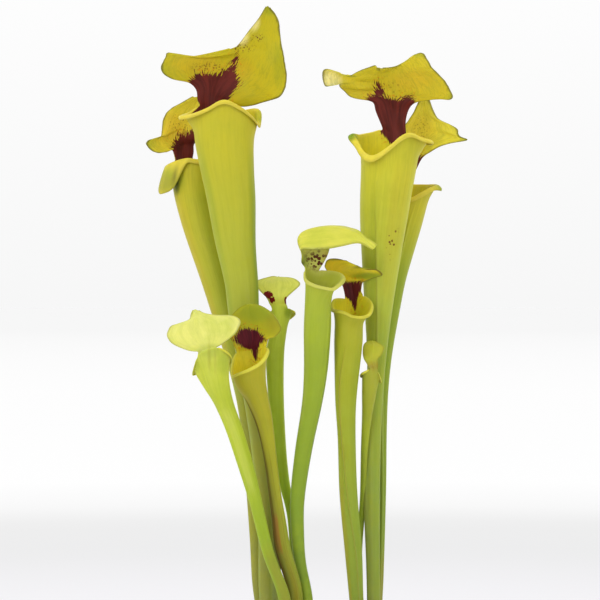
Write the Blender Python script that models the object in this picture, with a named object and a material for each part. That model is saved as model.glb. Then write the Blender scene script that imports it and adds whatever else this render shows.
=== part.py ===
"""A yellow pitcher plant in a plain pot: ten trumpet pitchers that stand on one rhizome in growing mix.

The origin is the middle of the pot's underside, +Z is up and -Y is the front. Each pitcher is one leaf, a sheet
rolled into a tube. Its rim rolls out into a lip, and its back runs on upwards as a column that opens into a lid.
The sizes below are in millimetres.
"""

import math

import bpy
import bmesh
from mathutils import Vector

MM = 0.001

POT_HEIGHT = 132.0
POT_BASE_RADIUS = 62.0
POT_SHOULDER_RADIUS = 80.0
POT_RIM_RADIUS = 86.0
POT_RIM_DEPTH = 20.0
POT_WALL = 2.4
POT_BASE_CHAMFER = 1.5
POT_BAND_TAPER = 1.2
POT_BAND_STEP = 0.6
POT_EDGE = 1.0
POT_SIDES = 40
DRAIN_HOLES = 6
DRAIN_RADIUS = 5.0
DRAIN_CIRCLE = 44.0
DRAIN_SIDES = 10

# The mix domes a little towards the middle. Each of its rings is (radius, share of the dome's rise).
MIX_TOP = 118.0
MIX_DOME = 1.0
MIX_RINGS = [(56.0, 0.3), (28.0, 0.8)]
FITTING_GAP = 0.45
BED_GAP = 0.6

RHIZOME_HEIGHT = 115.0
SOCKET_FLOOR = 116.6
SOCKET_TOP = 140.0
SOCKET_SIDES = 12
CUTTER_OVERRUN = 3.0

# A leaf's wall, the rounding of its foot, and the stretch below the mouth where the rim's rise sets in.
WALL = 1.2
FOOT_TIP = 0.8
RIM_BLEND = 34.0

# The rows of points that roll the lip out: (share of its reach, height above the rim, share of its droop).
LIP_ROWS = [(0.55, 1.0, 0.0), (1.0, 0.0, 1.0)]

# How a leaf's sheet is divided: round the tube, along it, across the column, and up the lid. The levels along
# the tube stand closer together towards the mouth.
TALL_SHEET = {"sides": 20, "levels": 10, "column_share": 4, "lid_rows": 9}
SMALL_SHEET = {"sides": 16, "levels": 8, "column_share": 4, "lid_rows": 7}
LEVEL_CROWDING = 1.35

# The rhizome's sections: distance along X, half width along Y, half height.
RHIZOME = [
    (-53.0, 0.6, 0.5), (-50.0, 10.0, 6.0), (-43.0, 18.5, 9.5), (-34.0, 23.0, 11.0), (-24.0, 23.0, 11.2),
    (-14.0, 19.0, 10.4), (-4.0, 12.0, 8.6), (6.0, 9.5, 7.8), (15.0, 12.0, 8.6), (24.0, 18.0, 10.2),
    (34.0, 21.0, 11.0), (43.0, 18.5, 9.6), (50.0, 10.0, 6.4), (53.0, 0.6, 0.5),
]
RHIZOME_SIDES = 14

# Angles are in degrees round the mouth as seen from above: 0 faces the front, 90 faces +X, 180 faces the back.
# route: the tube's centre line and radius, from the foot up, as (z, x, y, radius).
# back: the angle where the column stands, and column: how far it reaches to each side of that.
# rim: (angle, rise of the rim, reach of the lip, droop of the lip).
# ribs: lines across the column and the lid, each from its left margin over the midrib to its right margin, as
# (x, y, z) from the middle of the mouth, from the foot of the column up to the lid's tip.
PITCHERS = {
    "pitcher_tall_left_front": {
        "route": [
            (118, -38, -2, 4.0), (131, -38, -2, 4.0), (195, -47, -2, 4.0), (259, -47.5, -3, 4.5),
            (315, -51.5, -5, 6.0), (371, -58, -5, 9.2), (425, -65, -6, 12.4), (447, -66.5, -6, 13.4),
            (481, -71.5, -6, 16.4), (516, -74.4, -6, 19.2), (537, -76.5, -6, 20.6), (562, -79, -6, 23.0),
            (580.6, -80, -6, 24.5),
        ],
        "front": 25, "back": 205, "column": 32,
        "rim": [
            (0, 12, 3, 2), (30, 6, 3, 2), (60, -1, 3, 2), (90, -5, 5, 2), (120, 3, 8, 0), (150, 6, 4, 1),
            (173, 8, 3, 1), (205, 6, 3, 1), (237, 10, 3, 1), (255, 3, 10, 0), (275, 0, 14, 1), (300, 1, 7, 2),
            (330, 5, 3, 2),
        ],
        "ribs": [
            [(-22, 16, 17), (-10, 23, 17), (7, 22, 13)],
            [(-26, 17, 29), (-7, 22, 27), (18, 16, 11)],
            [(-43, 12, 31), (-1, 19, 38), (33, 9, 13)],
            [(-51, 8, 41), (6, 15, 47), (45, 4, 18)],
            [(-45, 12, 51), (13, 11, 54), (49, 0, 34)],
            [(-16, 16, 51), (19, 7, 62), (46, -3, 54)],
            [(11, 9, 61), (27, 1, 73), (42, -5, 72)],
            [(32, -6, 86), (34, -7, 87), (36, -8, 86)],
        ],
    },
    "pitcher_tall_left_back": {
        "route": [
            (118, -36, 10, 4.0), (131, -36, 10, 4.0), (195, -51, 10, 4.4), (243, -54.5, 11, 4.4),
            (282, -57, 12, 4.8), (329, -60, 14, 6.2), (366, -66, 17, 7.8), (428, -81, 22, 12.0),
            (446, -85.5, 24, 13.4), (484, -96, 31, 16.4), (505, -101, 36, 18.0), (526, -104.5, 40, 19.4),
            (543, -104, 42, 20.0),
        ],
        "front": 42, "back": 222, "column": 26,
        "rim": [
            (0, 5, 3, 2), (30, 4, 3, 2), (60, 2, 3, 2), (90, 0, 4, 2), (120, 2, 4, 2), (150, 4, 3, 2),
            (196, 6, 3, 1), (222, 5, 3, 1), (248, 7, 4, 3), (266, 1, 13, 17), (285, 0, 9, 9), (310, 4, 3, 2),
            (340, 6, 3, 2),
        ],
        "ribs": [
            [(-21, 11, 17), (-14, 17, 17), (-5, 19, 17)],
            [(-22, 10, 22), (-13, 17, 28), (-4, 18, 28)],
            [(-31, 4, 14), (-11, 15, 35), (12, 12, 25)],
            [(-43, -2, 21), (-8, 12, 41), (25, 6, 29)],
            [(-33, 0, 25), (-5, 9, 47), (28, 2, 42)],
            [(-31, 2, 38), (-2, 6, 52), (22, 2, 51)],
            [(-20, 2, 50), (0, 4, 56), (12, 2, 56)],
            [(0, 3, 59), (2.5, 3, 59), (5, 3, 59)],
        ],
    },
    "pitcher_tall_right_front": {
        "route": [
            (118, 40, 0, 3.6), (131, 40, 0, 3.6), (195, 39.4, 0, 3.2), (275, 38.8, 2, 3.7), (315, 38.8, 4, 4.6),
            (355, 40, 5, 6.0), (395, 41.8, 7, 8.2), (435, 43.4, 8, 12.0), (475, 45.8, 9, 16.4),
            (500, 47.4, 10, 19.2), (520, 49, 10, 20.8), (543, 51.5, 10, 22.6), (561.3, 52.4, 10, 24.5),
        ],
        "front": -28, "back": 168, "column": 24,
        "rim": [
            (0, -4, 3, 2), (15, 2, 3, 2), (36, 6, 3, 2), (60, 3, 5, 2), (85, 0, 12, 0), (110, 1, 9, 1),
            (144, 8, 3, 1), (168, 8, 3, 1), (192, 12, 3, 1), (215, 9, 3, 1), (240, 7, 3, 1), (268, 5, 8, 1),
            (292, -6, 3, 2), (328, -12, 3, 2),
        ],
        "ribs": [
            [(-7, 22, 19), (3, 25, 19), (14, 20, 19)],
            [(-14, 20, 34), (1, 25, 33), (17, 19, 32)],
            [(-31, 12, 37), (-2, 22, 40), (34, 12, 36)],
            [(-42, 6, 47), (-4, 19, 45), (51, 4, 35)],
            [(-54, 0, 51), (-6, 15, 50), (43, 2, 51)],
            [(-42, 4, 56), (-7, 11, 54), (32, 4, 67)],
            [(-24, 6, 60), (-8, 7, 57), (18, 6, 67)],
            [(-11, 4, 59), (-9, 4, 60), (-6, 4, 60)],
        ],
    },
    "pitcher_tall_right_back": {
        "route": [
            (118, 38, 12, 3.6), (131, 38, 12, 3.6), (195, 43.2, 13, 3.4), (226, 44.5, 14, 3.4),
            (282, 45.5, 17, 4.1), (327, 45, 22, 5.3), (357, 45, 27, 6.6), (384, 46, 32, 8.2), (405, 48, 36, 9.5),
            (425, 50.5, 40, 10.8), (451, 54, 45, 12.8), (472, 58, 49, 15.0), (492, 62.5, 53, 16.6),
            (513, 67.5, 55, 18.0), (525.7, 70.7, 56, 18.5),
        ],
        "front": 5, "back": 185, "column": 26,
        "rim": [
            (0, -8, 3, 2), (30, -3, 3, 2), (60, 1, 5, 1), (80, 3, 9, 3), (105, 4, 5, 2), (130, 4, 3, 1),
            (159, 5, 3, 1), (185, 5, 3, 1), (211, 5, 3, 1), (240, 3, 3, 2), (270, 1, 6, 2), (300, -3, 3, 2),
            (330, -7, 3, 2),
        ],
        "ribs": [
            [(-7, 15, 16), (-2, 18, 16), (6, 16, 17)],
            [(-7, 14, 29), (2, 17, 29), (12, 14, 30)],
            [(-11, 10, 36), (5, 14, 39), (25, 8, 36)],
            [(-10, 6, 44), (7, 10, 49), (47, 0, 41)],
            [(-5, 4, 52), (9, 6, 58), (35, 0, 52)],
            [(1, 2, 63), (11, 2, 67), (21, -1, 62)],
            [(7, 0, 73), (12, -1, 75), (17, -2, 73)],
            [(11, -4, 82), (12, -4, 82), (14, -4, 82)],
        ],
    },
    "pitcher_small_left_front": {
        "route": [
            (118, -29, -10, 3.8), (131, -29, -10, 3.8), (195, -31.6, -16, 4.2), (235, -45, -23, 4.0),
            (275, -54.5, -32, 4.4), (300, -61, -39, 5.4), (335, -71.5, -48, 6.4), (356, -79.5, -55, 7.6),
            (370, -84.5, -59, 9.6), (384, -87.2, -62, 13.1),
        ],
        "front": 156, "back": 336, "column": 38,
        "rim": [
            (15, 14, 2, 1), (50, 11, 2, 1), (90, 6, 2, 1), (135, 0, 2, 1), (180, -4, 2, 1), (225, -5, 2, 1),
            (262, -4, 4, 1), (285, 4, 3, 1), (298, 8, 2, 1), (336, 11, 2, 1),
        ],
        "ribs": [
            [(-11, -8, 12), (-3, -11, 14), (5, -10, 15.5)],
            [(-21, -7, 13), (-4, -9, 18.5), (12, -7, 20)],
            [(-32, -2, 18), (-5, -4, 24), (18.5, -1, 26)],
            [(-35.5, 4, 24), (-8, 2, 29), (21, 6, 34)],
            [(-32, 8, 30), (-10, 8, 35), (12, 10, 38)],
            [(-22, 11, 35), (-12, 12, 39.5), (-2, 13, 39.5)],
            [(-17, 15, 43), (-15, 15, 43.5), (-13, 15, 43)],
        ],
    },
    "pitcher_small_left_mid": {
        "route": [
            (118, -26, 1, 3.6), (131, -26, 1, 3.6), (198, -21, -6, 3.4), (239, -31.5, -12, 3.8),
            (260, -34.5, -15, 3.8), (285, -38.5, -19, 3.3), (312, -42.5, -24, 4.0), (335, -46.5, -28, 5.6),
            (348, -50, -31, 7.4), (370, -57.5, -35, 10.8), (387, -59.2, -37, 14.1),
        ],
        "front": -8, "back": 172, "column": 44,
        "rim": [
            (0, -6, 2, 1), (35, -1, 2, 1), (75, 7, 2, 1), (128, 10, 2, 1), (172, 7, 2, 1), (216, 7, 2, 1),
            (250, -2, 2, 1), (280, -11, 2, 1), (330, -9, 2, 1),
        ],
        "ribs": [
            [(-8, 10, 12), (3, 13, 13), (12.5, 8, 15)],
            [(-13, 8, 17), (2, 12, 20), (17, 6, 18)],
            [(-18, 5, 25), (1, 10, 27), (23.5, 3, 23.5)],
            [(-17, 3, 34), (0, 7, 33), (22, 2, 31)],
            [(-11, 3, 41), (-1, 4, 39), (16, 2, 39)],
            [(-3, 2, 44), (-1, 2, 44.5), (4, 2, 44)],
        ],
    },
    "pitcher_small_left_back": {
        "route": [
            (118, -23, 13, 3.6), (131, -23, 13, 3.6), (195, -23, 13, 3.6), (257, -27.5, 13, 3.7),
            (292, -33.8, 13, 4.4), (315, -36.6, 13, 5.2), (356, -39.4, 13, 6.4), (393, -40, 14, 7.4),
            (411, -37, 14, 6.9), (422, -36.1, 14, 7.5),
        ],
        "front": 180, "back": 0, "column": 58,
        "rim": [
            (0, 8, 1.5, 1), (58, 6, 2, 1), (80, 2, 5, 1), (105, -1, 6.5, 2), (135, -3, 3, 1), (180, -4, 2, 1),
            (240, -3, 2, 1), (280, 0, 2, 1), (302, 5, 1.5, 1),
        ],
        "ribs": [
            [(-9, -4, 10.5), (-1, -7, 10.5), (5.5, -4, 11)],
            [(-12, -4, 16), (-2, -7, 15), (6.5, -4, 16)],
            [(-18.5, 0, 21), (-2, -3, 20), (13, 0, 22)],
            [(-22.5, 5, 26), (-2, 3, 25), (16, 5, 26.5)],
            [(-17, 10, 29.5), (-2, 9, 29), (9, 10, 30.5)],
            [(-6, 13, 32), (-2, 14, 32), (2, 13, 32)],
        ],
    },
    "pitcher_mid_centre": {
        "route": [
            (118, -13, -3, 4.0), (131, -13, -3, 4.0), (195, -14.4, 2, 4.8), (225, -20, 0, 4.8), (248, -22, -2, 5.4),
            (275, -22.2, -5, 5.8), (315, -17.2, -11, 6.8), (355, -10.2, -17, 8.2), (382, -7.4, -21, 9.6),
            (413, -6.2, -25, 10.8), (440, -5, -29, 10.8), (451.5, -1.1, -30, 15.0),
        ],
        "front": 50, "back": 230, "column": 34,
        "rim": [
            (0, -7, 2, 1), (25, -8, 2, 1), (45, -5, 2, 1), (90, 1, 2, 1), (140, 5, 2, 1), (196, 6.5, 2, 1),
            (230, 7, 2, 1), (264, 8, 3, 1), (282, 1, 3, 1), (330, -5, 2, 1),
        ],
        "ribs": [
            [(-17.7, 0, 13.4), (-12, 10, 13), (-2, 14, 12)],
            [(-17, -3, 20), (-8, 10, 21), (5, 14, 21)],
            [(-20, -10, 27.5), (-10, 6, 31), (-15, 18, 36)],
            [(-5, -13, 23), (-2, 4, 33), (-9, 20, 41)],
            [(9.5, -13, 24.5), (11, 4, 35), (7, 20, 42.5)],
            [(21, -10, 27), (22, 4, 35), (22, 17, 41)],
            [(31, -5, 28), (31.5, 3, 32), (31, 10, 38)],
            [(40, -2, 27), (41, -1, 26.5), (41, 0, 27)],
        ],
    },
    "pitcher_mid_right": {
        "route": [
            (118, 30, -9, 4.2), (131, 30, -9, 4.2), (195, 25, -9, 5.6), (236, 22.4, -10, 7.0), (281, 18.5, -12, 7.2),
            (326, 17, -14, 7.2), (354, 16.4, -15, 8.4), (393, 18, -15, 10.9), (403, 18.4, -15, 11.4),
            (418, 19.5, -14.5, 12.6), (428.6, 21.3, -14, 15.5),
        ],
        "front": 0, "back": 172, "column": 28,
        "rim": [
            (0, -6.4, 2, 1), (28, -7, 2, 1), (55, -5, 2, 1), (85, 1, 2, 1), (115, 6, 2, 1), (144, 9, 2, 1),
            (172, 6, 2, 1), (200, 7, 2, 1), (250, 6, 2, 1), (280, -1, 2, 1), (332, -3, 2, 1),
        ],
        "ribs": [
            [(-6, 14, 13.5), (1, 16, 13.5), (7.5, 13, 14)],
            [(-8, 14, 19), (0, 16, 20), (9, 13, 20.6)],
            [(-15, 14, 25), (0, 14, 25), (13, 10, 23)],
            [(-21, 12, 32), (-1, 9, 28.6), (21.5, 5, 25.4)],
            [(-19, 9, 38), (0, 4, 31), (24, 0, 27)],
            [(-11, 5, 39), (2.4, -1, 32.5), (19, -5, 30)],
            [(-2, 0, 36), (5, -4, 33), (11, -6, 31.5)],
        ],
    },
    "pitcher_small_right": {
        "route": [
            (118, 26, 5, 2.6), (131, 26, 5, 2.6), (195, 27, 6, 2.6), (235, 27.5, 6, 2.5), (275, 30.4, 4, 2.5),
            (315, 31.5, -2, 2.9), (345, 33.6, -6, 4.2), (360, 34.8, -8.8, 5.6), (374.6, 35.7, -10.6, 6.4),
        ],
        "front": 210, "back": 30, "column": 34,
        "rim": [
            (30, 5, 1.5, 1), (64, 4, 1.5, 1), (95, -3, 4, 2), (150, -2, 1.5, 1), (180, -1, 1.5, 1),
            (240, 0, 1.5, 1), (270, 1, 1.5, 1), (320, 3, 1.5, 1), (356, 5, 1.5, 1),
        ],
        "ribs": [
            [(-2, -7, 9), (2, -7, 9), (6, -4, 9)],
            [(-4.6, -5, 13), (1, -7, 13), (6, -4, 13)],
            [(-5.8, -2.5, 18), (1.6, -5, 18), (9.5, -3, 17.5)],
            [(-5.2, -1, 24), (2.4, -2, 24), (11, -1, 23)],
            [(-2, 2, 27.5), (1.6, 2, 28), (5, 2, 27.5)],
        ],
    },
}

LEAF_COLOURS = {
    "pitcher_tall_left_front": (0.50, 0.48, 0.05),
    "pitcher_tall_left_back": (0.46, 0.40, 0.05),
    "pitcher_tall_right_front": (0.45, 0.45, 0.05),
    "pitcher_tall_right_back": (0.36, 0.42, 0.06),
    "pitcher_small_left_front": (0.55, 0.62, 0.12),
    "pitcher_small_left_mid": (0.42, 0.36, 0.05),
    "pitcher_small_left_back": (0.28, 0.40, 0.06),
    "pitcher_mid_centre": (0.32, 0.44, 0.07),
    "pitcher_mid_right": (0.38, 0.40, 0.05),
    "pitcher_small_right": (0.42, 0.46, 0.08),
}
LEAF_ROUGHNESS = 0.45
POT_COLOUR = (0.035, 0.037, 0.036)
POT_ROUGHNESS = 0.5
MIX_COLOUR = (0.055, 0.034, 0.020)
MIX_ROUGHNESS = 0.95
RHIZOME_COLOUR = (0.20, 0.11, 0.05)
RHIZOME_ROUGHNESS = 0.8


def clear_scene():
    for item in list(bpy.data.objects):
        bpy.data.objects.remove(item, do_unlink=True)


def make_material(name, colour, roughness):
    """A plain material for one piece."""
    material = bpy.data.materials.new(name)
    material.use_nodes = True
    shader = material.node_tree.nodes["Principled BSDF"]
    shader.inputs["Base Color"].default_value = (*colour, 1.0)
    shader.inputs["Roughness"].default_value = roughness
    shader.inputs["Metallic"].default_value = 0.0
    return material


def make_object(name, points, faces, material=None):
    """A mesh object from points in millimetres."""
    mesh = bpy.data.meshes.new(name)
    mesh.from_pydata([Vector(p) * MM for p in points], [], faces)
    mesh.shade_smooth()
    mesh.set_sharp_from_angle(angle=math.radians(40.0))
    item = bpy.data.objects.new(name, mesh)
    bpy.context.collection.objects.link(item)
    if material is not None:
        mesh.materials.append(material)
    return item


def face_outwards(item):
    """Turns the faces of a closed mesh outwards."""
    sculpt = bmesh.new()
    sculpt.from_mesh(item.data)
    bmesh.ops.recalc_face_normals(sculpt, faces=sculpt.faces)
    sculpt.to_mesh(item.data)
    sculpt.free()


def as_cutter(item):
    item.hide_render = True
    item.display_type = "WIRE"


def cut_away(item, cutter):
    """Takes the cutter's shape out of an item."""
    as_cutter(cutter)
    cut = item.modifiers.new("cut", "BOOLEAN")
    cut.operation = "DIFFERENCE"
    cut.solver = "EXACT"
    cut.object = cutter


def smooth(places, values, place):
    """The value at a place on a smooth curve through values, which stand at rising places."""
    last = len(places) - 1
    i = 0
    while i < last - 1 and place > places[i + 1]:
        i += 1

    def slope(k):
        before = max(k - 1, 0)
        after = min(k + 1, last)
        return (values[after] - values[before]) / (places[after] - places[before])

    span = places[i + 1] - places[i]
    t = (place - places[i]) / span
    start = values[i] * (2 * t**3 - 3 * t**2 + 1) + slope(i) * span * (t**3 - 2 * t**2 + t)
    end = values[i + 1] * (3 * t**2 - 2 * t**3) + slope(i + 1) * span * (t**3 - t**2)
    return start + end


def ease(t):
    t = min(max(t, 0.0), 1.0)
    return t * t * (3.0 - 2.0 * t)


def around(angle):
    """The level direction at an angle in degrees, where 0 faces the front."""
    turn = math.radians(angle)
    return Vector((math.sin(turn), -math.cos(turn), 0.0))


def rim_at(rim, angle):
    """The rise of the rim, and the reach and the droop of its lip, at an angle."""
    stops = sorted((stop[0] % 360, stop[1], stop[2], stop[3]) for stop in rim)
    stops = [(a - 360, *rest) for a, *rest in stops] + stops + [(a + 360, *rest) for a, *rest in stops]
    angles = [stop[0] for stop in stops]
    return [smooth(angles, [stop[k] for stop in stops], angle % 360) for k in (1, 2, 3)]


def pitcher_sheet(leaf, sides, levels, column_share, lid_rows):
    """The points and faces of a pitcher's sheet. Its foot is closed, and its lip, column and lid are open edges."""
    points = []
    faces = []
    route = leaf["route"]
    heights = [stop[0] for stop in route]
    centres = [Vector((stop[1], stop[2], stop[0])) for stop in route]
    radii = [stop[3] for stop in route]
    mouth = centres[-1]
    front = leaf["front"]
    turn_to_back = (leaf["back"] - front) % 360

    def ring_angle(i):
        """The angle of a point of the ring: the first stands at the front, and the middle one at the column."""
        share = i / sides
        first = column_share / 2 / sides
        edge_before = turn_to_back - leaf["column"]
        edge_after = turn_to_back + leaf["column"]
        if share <= 0.5 - first:
            return front + edge_before * share / (0.5 - first)
        if share <= 0.5 + first:
            return front + edge_before + (edge_after - edge_before) * (share - 0.5 + first) / (2 * first)
        return front + edge_after + (360 - edge_after) * (share - 0.5 - first) / (0.5 - first)

    angles = [ring_angle(i) for i in range(sides)]
    rims = [rim_at(leaf["rim"], angle) for angle in angles]

    points.append(centres[0] - Vector((0, 0, FOOT_TIP)))
    low, high = heights[1], heights[-1]
    for level in range(levels + 1):
        share = (level - 1) / (levels - 1)
        z = low + (high - low) * (1 - (1 - share) ** LEVEL_CROWDING) if level else heights[0]
        centre = smooth(heights, centres, z)
        radius = smooth(heights, radii, z)
        raised = ease((z - high + RIM_BLEND) / RIM_BLEND)
        for angle, (rise, _, _) in zip(angles, rims):
            points.append(centre + around(angle) * radius + Vector((0, 0, rise * raised)))

    def at(level, i):
        return 1 + level * sides + i % sides

    for i in range(sides):
        faces.append((0, at(0, i + 1), at(0, i)))
        for level in range(levels):
            faces.append((at(level, i), at(level, i + 1), at(level + 1, i + 1), at(level + 1, i)))

    first = sides // 2 - column_share // 2
    last = sides // 2 + column_share // 2

    lip = [i % sides for i in range(last, sides + first + 1)]
    rows = [[at(levels, i) for i in lip]]
    for out, up, down in LIP_ROWS:
        row = [rows[0][0]]
        for i in lip[1:-1]:
            _, reach, droop = rims[i]
            edge = points[at(levels, i)]
            row.append(len(points))
            points.append(edge + around(angles[i]) * reach * out + Vector((0, 0, up - droop * down)))
        row.append(rows[0][-1])
        rows.append(row)
    for below, above in zip(rows, rows[1:]):
        for k in range(len(lip) - 1):
            corners = [below[k], below[k + 1], above[k + 1], above[k]]
            faces.append(tuple(dict.fromkeys(corners)))

    seen_from_behind = math.cos(math.radians(leaf["back"])) > 0
    ribs = []
    for rib in leaf["ribs"]:
        stops = [mouth + Vector(stop) for stop in rib]
        ribs.append(stops if seen_from_behind else stops[::-1])

    columns = []
    for k in range(column_share + 1):
        across = k / column_share
        i = first + k
        line = [points[at(levels - 1, i)], points[at(levels, i)]]
        line += [smooth([0.0, 0.5, 1.0], rib, across) for rib in ribs]
        columns.append(line)
    places = list(range(len(columns[0])))
    below = [at(levels, first + k) for k in range(column_share + 1)]
    for row in range(1, lid_rows + 1):
        place = 1 + (places[-1] - 1) * row / lid_rows
        above = []
        for line in columns:
            above.append(len(points))
            points.append(smooth(places, line, place))
        for k in range(column_share):
            faces.append((below[k], below[k + 1], above[k + 1], above[k]))
        below = above
    return points, faces


def make_pitcher(name, leaf):
    """One leaf: its sheet, given its thickness towards the inside."""
    sheet = TALL_SHEET if "tall" in name else SMALL_SHEET
    points, faces = pitcher_sheet(leaf, **sheet)
    item = make_object(name, points, faces, make_material(name, LEAF_COLOURS[name], LEAF_ROUGHNESS))
    skin = item.modifiers.new("skin", "SOLIDIFY")
    skin.thickness = WALL * MM
    skin.offset = -1.0
    return item


def turned(name, profile, sides, material=None):
    """A body turned from a closed profile of (radius, height) points. A point of radius 0 lies on the axis."""
    points = []
    rings = []
    for radius, height in profile:
        if radius == 0.0:
            rings.append([len(points)] * sides)
            points.append((0.0, 0.0, height))
            continue
        ring = []
        for i in range(sides):
            turn = 2.0 * math.pi * i / sides
            ring.append(len(points))
            points.append((radius * math.cos(turn), radius * math.sin(turn), height))
        rings.append(ring)
    faces = []
    for lower, upper in zip(rings, rings[1:]):
        for i in range(sides):
            j = (i + 1) % sides
            corners = [lower[i], lower[j], upper[j], upper[i]]
            corners = tuple(dict.fromkeys(corners))
            if len(corners) > 2:
                faces.append(corners)
    item = make_object(name, points, faces, material)
    face_outwards(item)
    return item


def pot_inside(height):
    """The pot's inner radius at a height."""
    taper = (POT_SHOULDER_RADIUS - POT_BASE_RADIUS) / (POT_HEIGHT - POT_RIM_DEPTH)
    return POT_BASE_RADIUS + taper * height - POT_WALL


def make_pot():
    """A plain moulded pot with a band round its rim and holes in its floor."""
    shoulder = POT_HEIGHT - POT_RIM_DEPTH
    profile = [
        (0.0, 0.0),
        (POT_BASE_RADIUS - POT_BASE_CHAMFER, 0.0),
        (POT_BASE_RADIUS, POT_BASE_CHAMFER),
        (POT_SHOULDER_RADIUS, shoulder),
        (POT_RIM_RADIUS - POT_BAND_TAPER, shoulder + POT_BAND_STEP),
        (POT_RIM_RADIUS, POT_HEIGHT - POT_EDGE),
        (POT_RIM_RADIUS - POT_EDGE, POT_HEIGHT),
        (pot_inside(POT_HEIGHT) + POT_EDGE, POT_HEIGHT),
        (pot_inside(POT_HEIGHT), POT_HEIGHT - POT_EDGE),
        (pot_inside(POT_WALL), POT_WALL),
        (0.0, POT_WALL),
    ]
    pot = turned("pot", profile, POT_SIDES, make_material("pot", POT_COLOUR, POT_ROUGHNESS))
    below = -CUTTER_OVERRUN
    above = POT_WALL + CUTTER_OVERRUN
    for i in range(DRAIN_HOLES):
        turn = 2.0 * math.pi * (i + 0.5) / DRAIN_HOLES
        hole = turned(
            f"drain_cutter_{i}",
            [(0.0, below), (DRAIN_RADIUS, below), (DRAIN_RADIUS, above), (0.0, above)],
            DRAIN_SIDES,
        )
        hole.location = Vector((DRAIN_CIRCLE * math.cos(turn), DRAIN_CIRCLE * math.sin(turn), 0.0)) * MM
        cut_away(pot, hole)
    return pot


def rhizome_body(name, swell, material=None):
    """The branched rhizome as a lofted body, or a larger one that makes its bed in the mix."""
    along = [section[0] for section in RHIZOME]
    points = []
    faces = []
    for x, half_width, half_height in RHIZOME:
        stretched = x + math.copysign(swell, x) * abs(x) / along[-1]
        for i in range(RHIZOME_SIDES):
            turn = 2.0 * math.pi * i / RHIZOME_SIDES
            y = (half_width + swell) * math.cos(turn)
            z = RHIZOME_HEIGHT + (half_height + swell) * math.sin(turn)
            points.append((stretched, y, z))
    for section in range(len(RHIZOME) - 1):
        for i in range(RHIZOME_SIDES):
            j = (i + 1) % RHIZOME_SIDES
            a = section * RHIZOME_SIDES
            b = a + RHIZOME_SIDES
            faces.append((a + i, a + j, b + j, b + i))
    faces.append(tuple(range(RHIZOME_SIDES)))
    end = (len(RHIZOME) - 1) * RHIZOME_SIDES
    faces.append(tuple(end + i for i in reversed(range(RHIZOME_SIDES))))
    item = make_object(name, points, faces, material)
    face_outwards(item)
    return item


def make_rhizome():
    """The rhizome, with a socket for the foot of each leaf."""
    rhizome = rhizome_body("rhizome", 0.0, make_material("rhizome", RHIZOME_COLOUR, RHIZOME_ROUGHNESS))
    for name, leaf in PITCHERS.items():
        _, x, y, radius = leaf["route"][0]
        reach = radius + FITTING_GAP
        socket = turned(
            f"socket_cutter_{name}",
            [(0.0, SOCKET_FLOOR), (reach, SOCKET_FLOOR), (reach, SOCKET_TOP), (0.0, SOCKET_TOP)],
            SOCKET_SIDES,
        )
        socket.location = Vector((x, y, 0.0)) * MM
        cut_away(rhizome, socket)
    return rhizome


def make_mix():
    """The growing mix fills the pot from its floor, and the rhizome lies half sunk in its top."""
    floor = POT_WALL + FITTING_GAP
    profile = [
        (0.0, floor),
        (pot_inside(floor) - FITTING_GAP, floor),
        (pot_inside(MIX_TOP) - FITTING_GAP, MIX_TOP),
        *[(radius, MIX_TOP + MIX_DOME * share) for radius, share in MIX_RINGS],
        (0.0, MIX_TOP + MIX_DOME),
    ]
    mix = turned("potting_mix", profile, POT_SIDES, make_material("potting_mix", MIX_COLOUR, MIX_ROUGHNESS))
    cut_away(mix, rhizome_body("bed_cutter", BED_GAP))
    return mix


clear_scene()
make_pot()
make_mix()
make_rhizome()
for leaf_name, leaf_shape in PITCHERS.items():
    make_pitcher(leaf_name, leaf_shape)
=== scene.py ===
import math
import random

import bmesh
import bpy
from mathutils import Euler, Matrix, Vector, noise


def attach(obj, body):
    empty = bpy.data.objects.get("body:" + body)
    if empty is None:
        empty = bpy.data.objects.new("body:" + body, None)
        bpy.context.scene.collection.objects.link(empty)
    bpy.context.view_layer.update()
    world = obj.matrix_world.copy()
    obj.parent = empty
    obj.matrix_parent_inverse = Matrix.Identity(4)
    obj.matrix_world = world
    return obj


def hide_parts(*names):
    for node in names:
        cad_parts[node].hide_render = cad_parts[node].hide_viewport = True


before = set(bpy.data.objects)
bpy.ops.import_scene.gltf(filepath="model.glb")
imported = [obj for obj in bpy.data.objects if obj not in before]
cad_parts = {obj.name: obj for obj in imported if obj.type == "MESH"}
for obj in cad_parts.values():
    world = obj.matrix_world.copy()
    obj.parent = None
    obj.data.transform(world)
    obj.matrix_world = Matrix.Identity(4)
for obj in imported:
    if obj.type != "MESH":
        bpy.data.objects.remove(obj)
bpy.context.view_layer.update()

# The camera: level, 1.8 m in front of the plant and a little to its left, with a long lens that takes in the
# pitchers from their lids down to where they close in on each other. The pot stands below its view.
camera = bpy.data.objects.new("camera", bpy.data.cameras.new("camera"))
camera.data.lens = 135.0
camera.data.sensor_width = 36.0
camera.data.clip_end = 300.0
camera.location = (-0.020, -1.800, 0.435)
camera.rotation_euler = (math.radians(90.0), 0.0, 0.0)
bpy.context.collection.objects.link(camera)
bpy.context.scene.camera = camera
bpy.context.scene.view_settings.view_transform = "Standard"


# The studio: a broad pale floor that runs out to a white sky with no seam between them, a large soft box high
# on the left of the camera, and a weaker one on its right that fills the shaded sides. Sizes are in metres.
FLOOR_HALF = 120.0
FLOOR_REACH = 40.0
# The floor's paint changes with the distance from the plant: painted shade in a grey band, darkest from 2.1
# to 2.6 m out, and paler paint farther out, painted light that lets the floor meet the sky with no seam.
FLOOR_PAINTED_LIGHT_TONES = [
    (1.5, (0.870, 0.862, 0.885)), (2.1, (0.815, 0.815, 0.820)), (2.6, (0.830, 0.830, 0.830)),
    (3.0, (0.925, 0.925, 0.925)), (3.6, (0.975, 0.975, 0.975)), (9.0, (0.975, 0.975, 0.975)),
    (30.0, (0.920, 0.920, 0.920)),
]
PLANT_MIDDLE = (0.0, 0.0, 0.42)


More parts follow.
